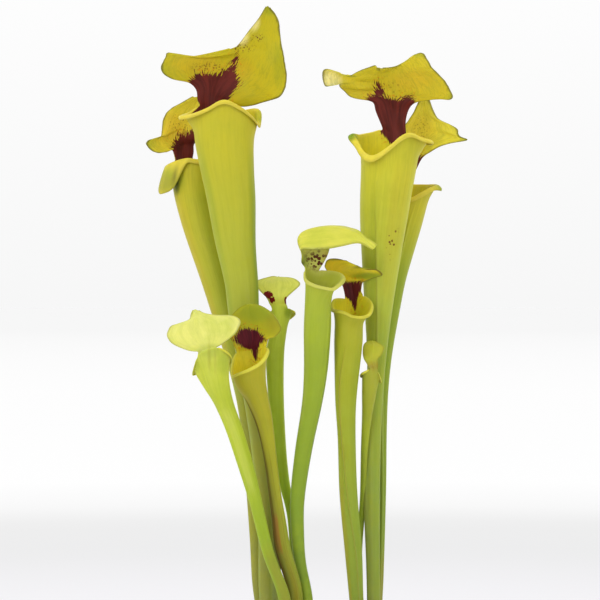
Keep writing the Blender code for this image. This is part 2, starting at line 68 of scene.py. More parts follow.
class Paint:
    """The recipe of one finish: a Principled shader and the textures that are mixed to feed it."""

    def __init__(self, name, roughness):
        self.material = bpy.data.materials.new(name)
        self.material.use_nodes = True
        self.nodes = self.material.node_tree.nodes
        self.links = self.material.node_tree.links
        self.shader = self.nodes["Principled BSDF"]
        self.shader.inputs["Roughness"].default_value = roughness

    def feed(self, socket, value):
        """Gives a socket a number, a colour, or another node's output."""
        if isinstance(value, bpy.types.NodeSocket):
            self.links.new(value, socket)
        elif isinstance(value, (tuple, list)) and socket.type == "RGBA":
            socket.default_value = (*value[:3], 1.0)
        else:
            socket.default_value = value

    def node(self, kind, *values, **settings):
        """Adds a node, with values for its first sockets."""
        made = self.nodes.new(kind)
        for setting, value in settings.items():
            setattr(made, setting, value)
        for socket, value in zip(made.inputs, values):
            if value is not None:
                self.feed(socket, value)
        return made

    def mark(self, name):
        """A number that was written on each point of the mesh."""
        return self.node("ShaderNodeAttribute", attribute_name=name).outputs["Fac"]

    def place(self, name):
        """A set of three numbers that was written on each point of the mesh."""
        return self.node("ShaderNodeAttribute", attribute_name=name).outputs["Vector"]

    def here(self):
        """The place in the object's own space, in metres."""
        return self.node("ShaderNodeTexCoord").outputs["Object"]

    def noise(self, place, scale, detail=3.0, roughness=0.5):
        """Soft clouds with values around 0.5."""
        made = self.node("ShaderNodeTexNoise", place)
        made.inputs["Scale"].default_value = scale
        made.inputs["Detail"].default_value = detail
        made.inputs["Roughness"].default_value = roughness
        return made.outputs["Fac"]

    def cells(self, place, scale, feature="F1"):
        """The distance to the middle of the nearest of many scattered cells, or to its edge."""
        made = self.node("ShaderNodeTexVoronoi", place, feature=feature)
        made.inputs["Scale"].default_value = scale
        return made.outputs["Distance"]

    def reckon(self, operation, a, b=None, c=None):
        """One sum with up to three values."""
        return self.node("ShaderNodeMath", a, b, c, operation=operation).outputs["Value"]

    def plus(self, a, b):
        return self.reckon("ADD", a, b)

    def minus(self, a, b):
        return self.reckon("SUBTRACT", a, b)

    def times(self, a, b):
        return self.reckon("MULTIPLY", a, b)

    def larger(self, a, b):
        return self.reckon("MAXIMUM", a, b)

    def scaled(self, value, factor, shift):
        """A value times a factor, with a shift added."""
        return self.reckon("MULTIPLY_ADD", value, factor, shift)

    def between(self, value, low, high, start=0.0, end=1.0):
        """The way from start to end while a value goes from low to high, with soft ends."""
        made = self.node("ShaderNodeMapRange", value, low, high, start, end, interpolation_type="SMOOTHSTEP")
        return made.outputs["Result"]

    def lines(self, cloud, width, strength=1.0):
        """Thin winding lines, where a cloud passes through its middle value."""
        off = self.reckon("ABSOLUTE", self.minus(cloud, 0.5))
        return self.between(off, 0.0, width, strength, 0.0)

    def mix(self, share, first, second):
        """A share of the second colour laid over the first."""
        made = self.node("ShaderNodeMix", data_type="RGBA")
        self.feed(made.inputs[0], share)
        self.feed(made.inputs[6], first)
        self.feed(made.inputs[7], second)
        return made.outputs[2]

    def ramp(self, value, stops):
        """A run of colours over a value: stops are (value, colour)."""
        made = self.node("ShaderNodeValToRGB", value)
        band = made.color_ramp
        while len(band.elements) < len(stops):
            band.elements.new(0.5)
        for element, (stop, colour) in zip(band.elements, stops):
            element.position = stop
            element.color = (*colour, 1.0)
        return made.outputs["Color"]

    def bump(self, height, strength, depth):
        """Relief: depth is how high it stands, in metres."""
        made = self.node("ShaderNodeBump")
        made.inputs["Strength"].default_value = strength
        made.inputs["Distance"].default_value = depth
        self.feed(made.inputs["Height"], height)
        self.links.new(made.outputs["Normal"], self.shader.inputs["Normal"])

    def colour(self, value):
        self.feed(self.shader.inputs["Base Color"], value)


floor_mesh = bpy.data.meshes.new("floor")
floor_mesh.from_pydata(
    [(x * FLOOR_HALF, y * FLOOR_HALF, 0.0) for x, y in ((-1, -1), (1, -1), (1, 1), (-1, 1))],
    [],
    [(0, 1, 2, 3)],
)
floor = bpy.data.objects.new("floor", floor_mesh)
floor_paint = Paint("floor", 0.95)
floor_paint.shader.inputs["Specular IOR Level"].default_value = 0.0
from_middle = floor_paint.node("ShaderNodeVectorMath", floor_paint.here(), operation="LENGTH")
floor_place = floor_paint.reckon("DIVIDE", from_middle.outputs["Value"], FLOOR_REACH)
floor_paint.colour(floor_paint.ramp(floor_place, [(away / FLOOR_REACH, tone) for away, tone in FLOOR_PAINTED_LIGHT_TONES]))
floor_mesh.materials.append(floor_paint.material)
bpy.context.collection.objects.link(floor)

sky = bpy.data.worlds.new("sky")
sky.use_nodes = True
sky_nodes = sky.node_tree.nodes
sky_links = sky.node_tree.links
outlook = sky_nodes.new("ShaderNodeTexCoord")
parted = sky_nodes.new("ShaderNodeSeparateXYZ")
climb = sky_nodes.new("ShaderNodeMapRange")
for socket, value in (("From Min", 0.0), ("From Max", 0.2), ("To Min", 0.93), ("To Max", 1.012)):
    climb.inputs[socket].default_value = value
sky_links.new(outlook.outputs["Generated"], parted.inputs["Vector"])
sky_links.new(parted.outputs["Z"], climb.inputs["Value"])
sky_links.new(climb.outputs["Result"], sky_nodes["Background"].inputs["Strength"])
sky_nodes["Background"].inputs["Color"].default_value = (1.0, 1.0, 1.0, 1.0)
bpy.context.scene.world = sky


def soft_box(name, place, size, power):
    """A square lamp with a cloth front, turned towards the middle of the plant."""
    lamp = bpy.data.lights.new(name, "AREA")
    lamp.size = size
    lamp.energy = power
    item = bpy.data.objects.new(name, lamp)
    item.location = place
    item.rotation_euler = (Vector(PLANT_MIDDLE) - Vector(place)).to_track_quat("-Z", "Y").to_euler()
    bpy.context.collection.objects.link(item)


soft_box("key_box", (-1.2, -1.6, 1.5), 1.0, 12.0)
soft_box("fill_box", (1.3, -1.9, 0.9), 1.2, 5.0)


# The first pitcher, tall, at the front on the left. A pitcher is one living leaf, a thin sheet rolled into a
# trumpet, and it stands in the rhizome by its foot. Its rim rolls outwards into a lip, and its back runs on
# up as a column that opens into a lid. The maroon patch in its throat runs out into veins.
MM = 0.001
WALL = 0.8
THINNEST_SHARE = 0.06
RING_CROWDING = 1.5
LEVEL_CROWDING = 1.3
# Fades along the tube and over its wing: where each starts, and how far it goes on.
WING_UNDER_MOUTH = (6.0, 40.0)
WING_ABOVE_FOOT = (140.0, 45.0)
TWIST_UNDER_MOUTH = (10.0, 60.0)
STALK_ABOVE_FOOT = (150.0, 35.0)
STALK_UNDER_TOP = (0.0, 90.0)
PALE_BY_MOUTH = (-3, 5)
CREST_OF_WING = (0.35, 0.4)
STALK_TOP = 390.0
THROAT_BESIDE = 30
THROAT_DEPTH = 60
RIM_BLEND = 34.0
BELL_DEPTH = 16.0
PLAIN_REACH = 2.0
COLUMN_BLEND = 12.0
UNEVEN = 0.02
UNEVEN_GRAIN = 0.018
LIP_TURN = math.radians(215.0)
LIP_TAPER = 4.0
LIP_WAVE = 0.3
LIP_WAVE_GRAIN = 0.07
LID_ONSET = 6
CURL_FROM = 0.62
CURL_WIDTH = 0.38
KEEL_HEIGHT = 0.5
KEEL_WIDTH = 0.07
DENT = 1.3
DENT_GRAIN = 0.045
RIPPLE_FROM = 0.7
RIPPLE_WIDTH = 0.3
RIPPLES = ((1.0, 1.1, 4.0), (0.5, 2.3, 9.0), (0.3, 5.0, 14.0))
OTHER_SIDE_WAVE = 0.31
NOWHERE = -30.0
FAR_IN = 40.0
NEAR_MOUTH = 0.93
TUBE_GRAIN = (20, 0.06)
LID_GRAIN = (100.0, 0.2)
WASHES = ("warm", "green", "pale", "brown", "dark")
TINTS = (*WASHES, "red", "speck")


def srgb(red, green, blue):
    """A colour as a screen shows it, from 0 to 255, turned into light."""
    values = [value / 255.0 for value in (red, green, blue)]
    return tuple(v / 12.92 if v < 0.04045 else ((v + 0.055) / 1.055) ** 2.4 for v in values)


def follow(places, values, place):
    """The value at a place on a smooth curve through values, which stand at rising places."""
    last = len(places) - 1
    i = 0
    while i < last - 1 and place > places[i + 1]:
        i += 1

    def slope(k):
        before = max(k - 1, 0)
        after = min(k + 1, last)
        return (values[after] - values[before]) / (places[after] - places[before])

    span = places[i + 1] - places[i]
    t = (place - places[i]) / span
    start = values[i] * (2 * t**3 - 3 * t**2 + 1) + slope(i) * span * (t**3 - 2 * t**2 + t)
    end = values[i + 1] * (3 * t**2 - 2 * t**3) + slope(i + 1) * span * (t**3 - t**2)
    return start + end


def ease(t):
    """A way from 0 to 1 that starts and ends softly."""
    t = min(max(t, 0.0), 1.0)
    return t * t * (3.0 - 2.0 * t)


def fade(value, start, length):
    """The soft way from 0 to 1 while a value goes a length on from its start."""
    return ease((value - start) / length)


def around(angle):
    """The level direction at an angle in degrees, where 0 faces the front and 90 the right."""
    turn = math.radians(angle)
    return Vector((math.sin(turn), -math.cos(turn), 0.0))


def apart(angle, other):
    """The turn from another angle to this one, from -180 to 180 degrees."""
    return (angle - other + 180) % 360 - 180


def rim_at(rim, angle):
    """The rise of the rim, and the reach and the droop of its lip, at an angle."""
    stops = sorted((stop[0] % 360, stop[1], stop[2], stop[3]) for stop in rim)
    stops = [(a - 360, *rest) for a, *rest in stops] + stops + [(a + 360, *rest) for a, *rest in stops]
    angles = [stop[0] for stop in stops]
    return [follow(angles, [stop[k] for stop in stops], angle % 360) for k in (1, 2, 3)]


def depth_inside(outline, x, z):
    """How far a point lies inside an outline, in millimetres, or less than 0 outside it."""
    nearest = 1e9
    inside = False
    for (ax, az), (bx, bz) in zip(outline, outline[1:] + outline[:1]):
        run = (bx - ax) ** 2 + (bz - az) ** 2
        t = min(max(((x - ax) * (bx - ax) + (z - az) * (bz - az)) / run, 0.0), 1.0)
        nearest = min(nearest, math.hypot(x - ax - t * (bx - ax), z - az - t * (bz - az)))
        if (az > z) != (bz > z) and x < ax + (z - az) * (bx - ax) / (bz - az):
            inside = not inside
    return nearest if inside else -nearest


class Sheet:
    """The thin sheet of one pitcher: its points and faces, and the marks that its finish is painted by."""

    def __init__(self, leaf, round_tube, across):
        self.leaf = leaf
        self.across = across
        self.sides = round_tube + across
        self.half = round_tube // 2
        self.heights = [stop[0] for stop in leaf["route"]]
        self.centres = [Vector((stop[1], stop[2], stop[0])) for stop in leaf["route"]]
        self.mouth = self.centres[-1]
        self.low, self.high = self.heights[0], self.heights[-1]
        self.angles = [self.ring_angle(i) for i in range(self.sides)]
        self.rims = [rim_at(leaf["rim"], angle) for angle in self.angles]
        self.rings = []
        self.points = []
        self.faces = []
        self.marks = {key: [] for key in ("up", "lid", "lip", "margin", "blotch", "crest", *TINTS)}
        self.walls = []
        self.grain = []
        self.lid_grain = []

    def ring_angle(self, i):
        """The angle of a point of the ring. The points crowd together at the wing and at the column."""
        front, column = self.leaf["front"], self.leaf["column"]
        to_back = (self.leaf["back"] - front) % 360
        if i <= self.half:
            return front + (to_back - column) * (i / self.half) ** RING_CROWDING
        if i <= self.half + self.across:
            return front + to_back - column + 2 * column * (i - self.half) / self.across
        left = (self.sides - i) / (self.sides - self.across - self.half)
        return front + 360 - (360 - to_back - column) * left**RING_CROWDING

    def tint(self, key, offset, angle, up, near_lid):
        """How strong a tint is: full over its middle, and soft at its edge."""
        value = 0.0
        for tint, middle, reach, start, end, strength in self.leaf["tube_tints"]:
            if tint == key and up <= 1.001:
                off = abs(apart(angle, middle)) / reach
                run = (up - start) / (end - start)
                value = max(value, strength * ease(1.6 * (1 - off)) * ease(min(run, 1 - run) * 5.0))
        for tint, x, z, wide, tall, strength in self.leaf["lid_tints"]:
            if tint == key and near_lid:
                off = math.hypot((offset.x - x) / wide, (offset.z - z) / tall)
                value = max(value, strength * ease(1.5 * (1 - off)))
        return value

    def add(
        self, point, angle, up, length,
        lid=0.0, lip=0.0, margin=FAR_IN, share=0.5, throat=False, ridge=0.0, crest=0.0,
    ):
        """Adds a point with its marks. Up is 0 at the foot, 1 at the mouth and 2 at the tip of the lid."""
        self.points.append(point)
        offset = point - self.mouth
        deep = NOWHERE
        if throat and self.leaf["blotch"]:
            deep = max(depth_inside(self.leaf["blotch"], offset.x, offset.z), NOWHERE)
        near_lid = lid > 0 or lip > 0 or up > NEAR_MOUTH
        values = {"up": up, "lid": lid, "lip": lip, "margin": margin, "blotch": deep, "crest": crest}
        for key in TINTS:
            values[key] = self.tint(key, offset, angle, up, near_lid)
        for key, value in values.items():
            self.marks[key].append(value)
        self.walls.append(max(1.0 - ridge, THINNEST_SHARE))
        turn = math.radians(apart(angle, self.leaf["back"]))
        round_tube, along_tube = TUBE_GRAIN
        self.grain.append((round_tube * math.sin(turn), round_tube * math.cos(turn), length * along_tube))
        across_lid, along_lid = LID_GRAIN
        self.lid_grain.append(((share - 0.5) * across_lid, length * along_lid, 0.0))
        return len(self.points) - 1

    def grow_tube(self, up_tube):
        """The closed foot and the rings of the tube, with its wing, its flat stalk and its uneven rim."""
        leaf = self.leaf
        low, high, front, back = self.low, self.high, leaf["front"], leaf["back"]
        radii = [stop[3] for stop in leaf["route"]]
        wing_heights, wing_angles, wing_reaches = zip(*leaf["wing"])
        self.add(self.centres[0] - Vector((0, 0, 0.8)), front, 0.0, 0.0)
        for level in range(up_tube + 1):
            z = low + (high - low) * (1 - (1 - level / up_tube) ** LEVEL_CROWDING)
            centre = follow(self.heights, self.centres, z)
            radius = follow(self.heights, radii, z)
            raised = ease((z - high + RIM_BLEND) / RIM_BLEND)
            wing = follow(wing_heights, wing_reaches, z)
            wing = wing * fade(high - z, *WING_UNDER_MOUTH) * fade(z, *WING_ABOVE_FOOT)
            twist = (follow(wing_heights, wing_angles, z) - front) * fade(high - z, *TWIST_UNDER_MOUTH)
            flat = leaf["petiole"] * fade(z, *STALK_ABOVE_FOOT) * fade(STALK_TOP - z, *STALK_UNDER_TOP)
            bell_share = ease((z - high + BELL_DEPTH) / BELL_DEPTH) ** 2
            ring = []
            for angle, (rise, reach, _) in zip(self.angles, self.rims):
                off_wing = math.radians(apart(angle, front)) * radius / leaf["wing_width"]
                ridge = wing * math.exp(-(off_wing**2))
                off_back = abs(apart(angle, back))
                column = ease((off_back - leaf["column"]) / COLUMN_BLEND)
                bell = 0.5 * max(reach - PLAIN_REACH, 0.0) * bell_share * column
                turned = angle + twist
                patch = Vector((math.sin(math.radians(turned)), z * UNEVEN_GRAIN, front))
                uneven = UNEVEN * radius * noise.noise(patch)
                outwards = around(turned)
                point = centre + outwards * (radius + ridge + bell + uneven)
                point = point + Vector((outwards.x * flat, 0, rise * raised))
                ring.append(
                    self.add(
                        point,
                        turned,
                        (z - low) / (high - low),
                        z - low + rise * raised,
                        lip=fade(z - high, *PALE_BY_MOUTH) * column,
                        throat=off_back < leaf["column"] + THROAT_BESIDE and z > high - THROAT_DEPTH,
                        ridge=ridge,
                        crest=fade(ridge / max(wing, 0.1), *CREST_OF_WING) * ease(wing - 0.3),
                    )
                )
            self.rings.append(ring)
        for i in range(self.sides):
            j = (i + 1) % self.sides
            self.faces.append((0, self.rings[0][j], self.rings[0][i]))
            for below, above in zip(self.rings, self.rings[1:]):
                self.faces.append((below[i], below[j], above[j], above[i]))

    def roll_lip(self, lip_rows):
        """The lip, which rolls outwards and under, all round the mouth except at the column."""
        leaf = self.leaf
        order = [i % self.sides for i in range(self.half + self.across, self.sides + self.half + 1)]
        below = [self.rings[-1][i] for i in order]
        for row in range(1, lip_rows + 1):
            theta = LIP_TURN * row / lip_rows
            above = [below[0]]
            for k, i in enumerate(order[1:-1], 1):
                _, reach, droop = self.rims[i]
                taper = ease(min(k, len(order) - 1 - k) / LIP_TAPER)
                radius = (0.5 * reach + 1.0) / 2 * leaf["lip_size"] * taper
                crown = (0.9 + 0.1 * reach) * leaf["lip_size"] * taper
                out = radius * (1 - math.cos(theta))
                rise = crown * math.sin(theta) - droop * taper * ease(theta / math.pi)
                sway = noise.noise(Vector((self.angles[i] * LIP_WAVE_GRAIN, leaf["front"], 0.0)))
                wave = LIP_WAVE * leaf["lip_size"] * taper * sway
                point = self.points[self.rings[-1][i]]
                point = point + around(self.angles[i]) * (out + wave * row / lip_rows) + Vector((0, 0, rise))
                from_edge = (lip_rows - row) * LIP_TURN / lip_rows * max(radius, 0.5)
                length = self.high - self.low
                above.append(self.add(point, self.angles[i], 1.0, length, lip=1.0, margin=from_edge))
            above.append(below[-1])
            for k in range(len(order) - 1):
                corners = (below[k], below[k + 1], above[k + 1], above[k])
                self.faces.append(tuple(dict.fromkeys(corners)))
            below = above

    def lid_grid(self, up_lid):
        """Rows of places over the column and the lid, on smooth curves up from the mouth through the ribs."""
        seen_from_behind = math.cos(math.radians(self.leaf["back"])) > 0
        ribs = []
        for rib in self.leaf["ribs"]:
            stops = [self.mouth + Vector(stop) for stop in rib]
            ribs.append(stops if seen_from_behind else stops[::-1])
        lines = []
        for k in range(self.across + 1):
            line = [self.points[self.rings[-4][self.half + k]], self.points[self.rings[-1][self.half + k]]]
            for rib in ribs:
                line.append(follow([j / (len(rib) - 1) for j in range(len(rib))], rib, k / self.across))
            lines.append(line)
        places = list(range(len(lines[0])))
        grid = []
        for row in range(up_lid + 1):
            place = 1 + (places[-1] - 1) * row / up_lid
            grid.append([follow(places, line, place) for line in lines])
        return grid

    def open_lid(self, up_lid):
        """The column and the lid, with a keel up the middle, shallow dents, and curled, rippled margins."""
        leaf = self.leaf
        across = self.across
        grid = self.lid_grid(up_lid)
        middle = across // 2
        lid_from, lid_to = leaf["lid_from"]
        wave_size, wave_count, wave_start = leaf["wave"]
        lengths = [0.0] * (across + 1)
        below = [self.rings[-1][self.half + k] for k in range(across + 1)]
        for row in range(1, up_lid + 1):
            share_up = row / up_lid
            onset = ease(share_up * LID_ONSET)
            lid = fade(share_up, lid_from, lid_to - lid_from)
            curl = leaf["curl"][0] * (1 - lid) + leaf["curl"][1] * lid
            width = (grid[row][-1] - grid[row][0]).length
            upwards = grid[min(row + 1, up_lid)][middle] - grid[row - 1][middle]
            outwards = (grid[row][middle + 3] - grid[row][middle - 3]).cross(upwards).normalized()
            above = []
            for k in range(across + 1):
                c = k / across
                side = 2 * c - 1
                right = side > 0
                point = grid[row][k]
                fold = curl * onset * max(abs(side) - CURL_FROM, 0.0) ** 2 / CURL_WIDTH**2
                wave = wave_size * lid * abs(side) ** 3
                wave *= math.sin(math.tau * (wave_count * share_up + wave_start + OTHER_SIDE_WAVE * right))
                keel = KEEL_HEIGHT * onset * math.exp(-((side / KEEL_WIDTH) ** 2))
                dent = DENT * lid * noise.noise(point * DENT_GRAIN) * (1 - share_up**4)
                ripple = 0.0
                for size, count, place in RIPPLES:
                    along = share_up * len(leaf["ribs"]) * count
                    ripple += size * noise.noise(Vector((along, place * right, leaf["front"])))
                edge = max(abs(side) - RIPPLE_FROM, 0.0) / RIPPLE_WIDTH
                ripple *= leaf["ripple"] * lid * (1 - share_up**6) * edge**2
                sideways = grid[row][min(k + 1, across)] - grid[row][max(k - 1, 0)]
                spread = sideways.normalized() * math.copysign(ripple, side) if ripple else Vector()
                lengths[k] += (point - grid[row - 1][k]).length
                from_tip = (grid[-1][k] - point).length
                above.append(
                    self.add(
                        point + outwards * (fold + wave + keel + dent) + spread,
                        self.angles[self.half + k],
                        1 + share_up,
                        self.high - self.low + lengths[k],
                        lid=lid,
                        margin=min(min(c, 1 - c) * width, from_tip + 1.5),
                        share=c,
                        throat=True,
                    )
                )
            for k in range(across):
                self.faces.append((below[k], below[k + 1], above[k + 1], above[k]))
            below = above


def leaf_finish(name, leaf, inside):
    """The living skin of a leaf or its lining, with its tints, veins, patch, flecks and pale lip."""
    paint = Paint(name, 0.46)
    up = paint.mark("up")
    grain = paint.place("grain")
    lid_grain = paint.place("lid_grain")
    lid = paint.mark("lid")
    tube = paint.minus(1.0, lid)
    stops = leaf["inside"] if inside else leaf["skin"]
    drift = paint.noise(grain, 0.05, 2.0)
    wander = paint.scaled(paint.minus(drift, 0.5), 0.06, paint.times(up, 0.5))
    skin = paint.ramp(wander, [(stop / 2.0, srgb(*colour)) for stop, *colour in stops])

    blotchy = paint.noise(paint.here(), 38.0, 4.0, 0.6)
    skin = paint.mix(paint.between(blotchy, 0.42, 0.68, 0.0, 0.35), skin, leaf["mottle"])
    uneven = paint.between(paint.noise(grain, 0.22, 3.0), 0.25, 0.6, 0.6, 1.0)
    for wash in WASHES:
        skin = paint.mix(paint.times(paint.mark(wash), uneven), skin, leaf[wash])
    skin = paint.mix(paint.times(paint.mark("crest"), leaf["crest_share"]), skin, leaf["crest_colour"])

    # Veins run up the tube, and part and meet again over the lid. Torn spots show red.
    streaks = paint.noise(grain, 0.55, 4.0, 0.6)
    skin = paint.mix(paint.between(streaks, 0.35, 0.75, 0.0, leaf["streaks"]), skin, leaf["vein"])
    tube_vein = paint.lines(paint.noise(grain, 0.42, 1.0), 0.045, leaf["tube_veins"])
    lid_vein = paint.lines(paint.noise(lid_grain, 0.34, 2.0), 0.045)
    net = paint.between(paint.cells(lid_grain, 0.42, "DISTANCE_TO_EDGE"), 0.0, 0.07, 0.6, 0.0)
    lid_vein = paint.times(paint.larger(lid_vein, net), leaf["lid_veins"])
    vein = paint.plus(paint.times(lid_vein, lid), paint.times(tube_vein, tube))
    skin = paint.mix(vein, skin, leaf["vein"])
    torn = paint.between(paint.noise(paint.here(), 420.0, 2.0), 0.3, 0.6, 0.4, 1.0)
    torn = paint.between(paint.times(paint.mark("red"), torn), 0.3, 0.42)
    skin = paint.mix(torn, skin, leaf["red"])

    # The lip is paler, and the thin margin of the lid has a darker, frayed edge.
    lip = paint.times(paint.mark("lip"), paint.minus(1.0, paint.mark("green")))
    skin = paint.mix(paint.times(lip, leaf["lip_share"]), skin, leaf["lip_colour"])
    margin = paint.mark("margin")
    frayed = paint.scaled(paint.noise(paint.here(), 160.0, 2.0), -2.2, margin)
    edge = paint.times(paint.between(frayed, -0.8, 0.9, 1.0, 0.0), paint.scaled(lid, 0.7, 0.3))
    skin = paint.mix(paint.times(edge, leaf["edge_share"]), skin, leaf["edge_colour"])

    # The throat's maroon patch: solid in the middle, with a fringe of veins and an orange halo of spots.
    blotch = paint.mark("blotch")
    fine = paint.noise(lid_grain, 0.72, 2.0, 0.6)
    coarse = paint.scaled(paint.noise(grain, 1.1, 2.0, 0.6), 0.45, 0.275)
    fringe = paint.plus(paint.times(fine, lid), paint.times(coarse, tube))
    reach = paint.scaled(paint.minus(fringe, 0.5), leaf["fringe"], blotch)
    halo_spots = paint.between(paint.noise(paint.here(), 480.0, 2.0), 0.56, 0.64)
    halo_band = paint.times(paint.between(reach, -7.0, -1.5), halo_spots)
    patch = paint.between(reach, -0.5, 0.7)
    maroon = paint.mix(paint.between(streaks, 0.3, 0.7), leaf["maroon"], leaf["maroon_deep"])
    if inside:
        skin = paint.mix(paint.times(halo_band, 0.6), skin, leaf["halo"])
        skin = paint.mix(patch, skin, maroon)
    else:
        skin = paint.mix(paint.times(patch, leaf["show_through"]), skin, maroon)

    size = leaf["speck_size"]
    dots = paint.between(paint.cells(paint.here(), leaf["speck_grain"]), size - 0.1, size, 1.0, 0.0)
    gate = paint.between(paint.noise(paint.here(), 140.0, 2.0), 0.36, 0.44)
    specks = paint.times(paint.times(dots, gate), paint.mark("speck"))
    skin = paint.mix(specks, skin, leaf["speck_colour"])
    paint.colour(skin)

    # Light glows through the living skin, less at its margins, and hardly at all where it is dark and dense.
    relief = paint.scaled(vein, 0.8, paint.times(streaks, 0.5))
    paint.bump(paint.scaled(blotchy, 0.3, relief), 0.5, 0.0004)
    glow = paint.between(margin, 0.0, 3.0, 0.3 * leaf["glow"], leaf["glow"])
    dense = paint.larger(paint.mark("crest"), torn)
    if inside:
        dense = paint.larger(dense, patch)
    glow = paint.times(glow, paint.scaled(dense, -0.85, 1.0))
    paint.feed(paint.shader.inputs["Subsurface Weight"], glow)
    paint.shader.inputs["Subsurface Radius"].default_value = (1.0, 0.85, 0.2)
    paint.shader.inputs["Subsurface Scale"].default_value = 0.002
    paint.shader.inputs["Specular IOR Level"].default_value = 0.1
    return paint.material


def make_pitcher(name, leaf, round_tube=36, up_tube=52, across=20, up_lid=36, lip_rows=7):
    """Grows one pitcher in place of its plain stand-in, and gives it its skin and its thickness."""
    sheet = Sheet(leaf, round_tube, across)
    sheet.grow_tube(up_tube)
    sheet.roll_lip(lip_rows)
    sheet.open_lid(up_lid)
    mesh = bpy.data.meshes.new(name + "_leaf")
    mesh.from_pydata([point * MM for point in sheet.points], [], sheet.faces)
    mesh.shade_smooth()
    for key, values in sheet.marks.items():
        mesh.attributes.new(key, "FLOAT", "POINT").data.foreach_set("value", values)
    for key, values in (("grain", sheet.grain), ("lid_grain", sheet.lid_grain)):
        flat = [number for value in values for number in value]
        mesh.attributes.new(key, "FLOAT_VECTOR", "POINT").data.foreach_set("vector", flat)
    mesh.materials.append(leaf_finish(name + "_skin", leaf, inside=False))
    mesh.materials.append(leaf_finish(name + "_lining", leaf, inside=True))
    item = bpy.data.objects.new(name + "_leaf", mesh)
    bpy.context.collection.objects.link(item)
    rounding = item.modifiers.new("rounding", "SUBSURF")
    rounding.levels = rounding.render_levels = 1
    thickness = item.modifiers.new("thickness", "SOLIDIFY")
    thickness.thickness = WALL * MM
    thickness.offset = -1.0
    thickness.material_offset = 1
    wall_share = item.vertex_groups.new(name="wall")
    for index, share in enumerate(sheet.walls):
        wall_share.add([index], share, "REPLACE")
    thickness.vertex_group = "wall"
    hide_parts(name)
    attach(item, "root")


# How a pitcher is set out, in millimetres and degrees. 0 degrees is the front, and 90 the right.
# route: the stations of the tube, (height, x, y, radius)
# front, back, column: the angles of its front and its back, and the angle that half its column takes
# wing: (height, angle, how far it stands out)
# rim: (angle, rise, the lip's reach, the lip's droop)
# ribs: lines over the column and the lid, left to right, of places (x, y, height) from the mouth's middle
# blotch: the outline of the patch in its throat, of places (x, height) from the mouth's middle
# skin, inside: colours outside and inside, (how far up, red, green, blue), with the mouth at 1, the tip at 2
# tube_tints: (tint, angle, how far round, how far up it starts and ends, strength)
# lid_tints: (tint, x, height, half its width, half its height, strength), from the mouth's middle
MATURE = {
    "wing_width": 1.1, "petiole": 0.0, "curl": (2.2, 1.0), "wave": (1.0, 2.6, 0.1), "ripple": 2.3,
    "lid_from": (0.12, 0.3),
    "skin": [
        (0.0, 140, 112, 60), (0.08, 136, 146, 72), (0.45, 152, 161, 72), (0.75, 172, 176, 60),
        (0.95, 188, 181, 48), (1.0, 187, 178, 48), (1.15, 172, 160, 50), (1.4, 184, 172, 50),
        (2.0, 186, 173, 48),
    ],
    "inside": [
        (0.0, 120, 118, 40), (0.6, 190, 188, 44), (0.88, 226, 221, 48), (1.0, 219, 206, 48),
        (1.2, 200, 182, 40), (2.0, 198, 184, 42),
    ],
    "mottle": srgb(172, 172, 48), "warm": srgb(204, 152, 40), "green": srgb(118, 146, 38),
    "pale": srgb(232, 220, 150), "brown": srgb(150, 132, 58), "red": srgb(104, 28, 30),
    "dark": srgb(66, 72, 40), "vein": srgb(132, 138, 34),
    "streaks": 0.22, "tube_veins": 0.12, "lid_veins": 0.3,
    "lip_colour": srgb(222, 203, 82), "lip_share": 0.6, "edge_colour": srgb(96, 92, 38), "edge_share": 0.75,
    "fringe": 19.0, "maroon": srgb(106, 39, 32), "maroon_deep": srgb(78, 28, 23), "halo": srgb(196, 128, 22),
    "show_through": 0.15, "speck_grain": 520.0, "speck_size": 0.34, "speck_colour": srgb(96, 44, 22),
    "glow": 0.6, "crest_share": 0.0, "crest_colour": srgb(104, 92, 34),
}


def make_tall_pitcher(name, leaf):
    """A tall pitcher has a finer sheet than a young one."""
    make_pitcher(name, leaf, round_tube=48, up_tube=64, across=26, up_lid=52, lip_rows=9)


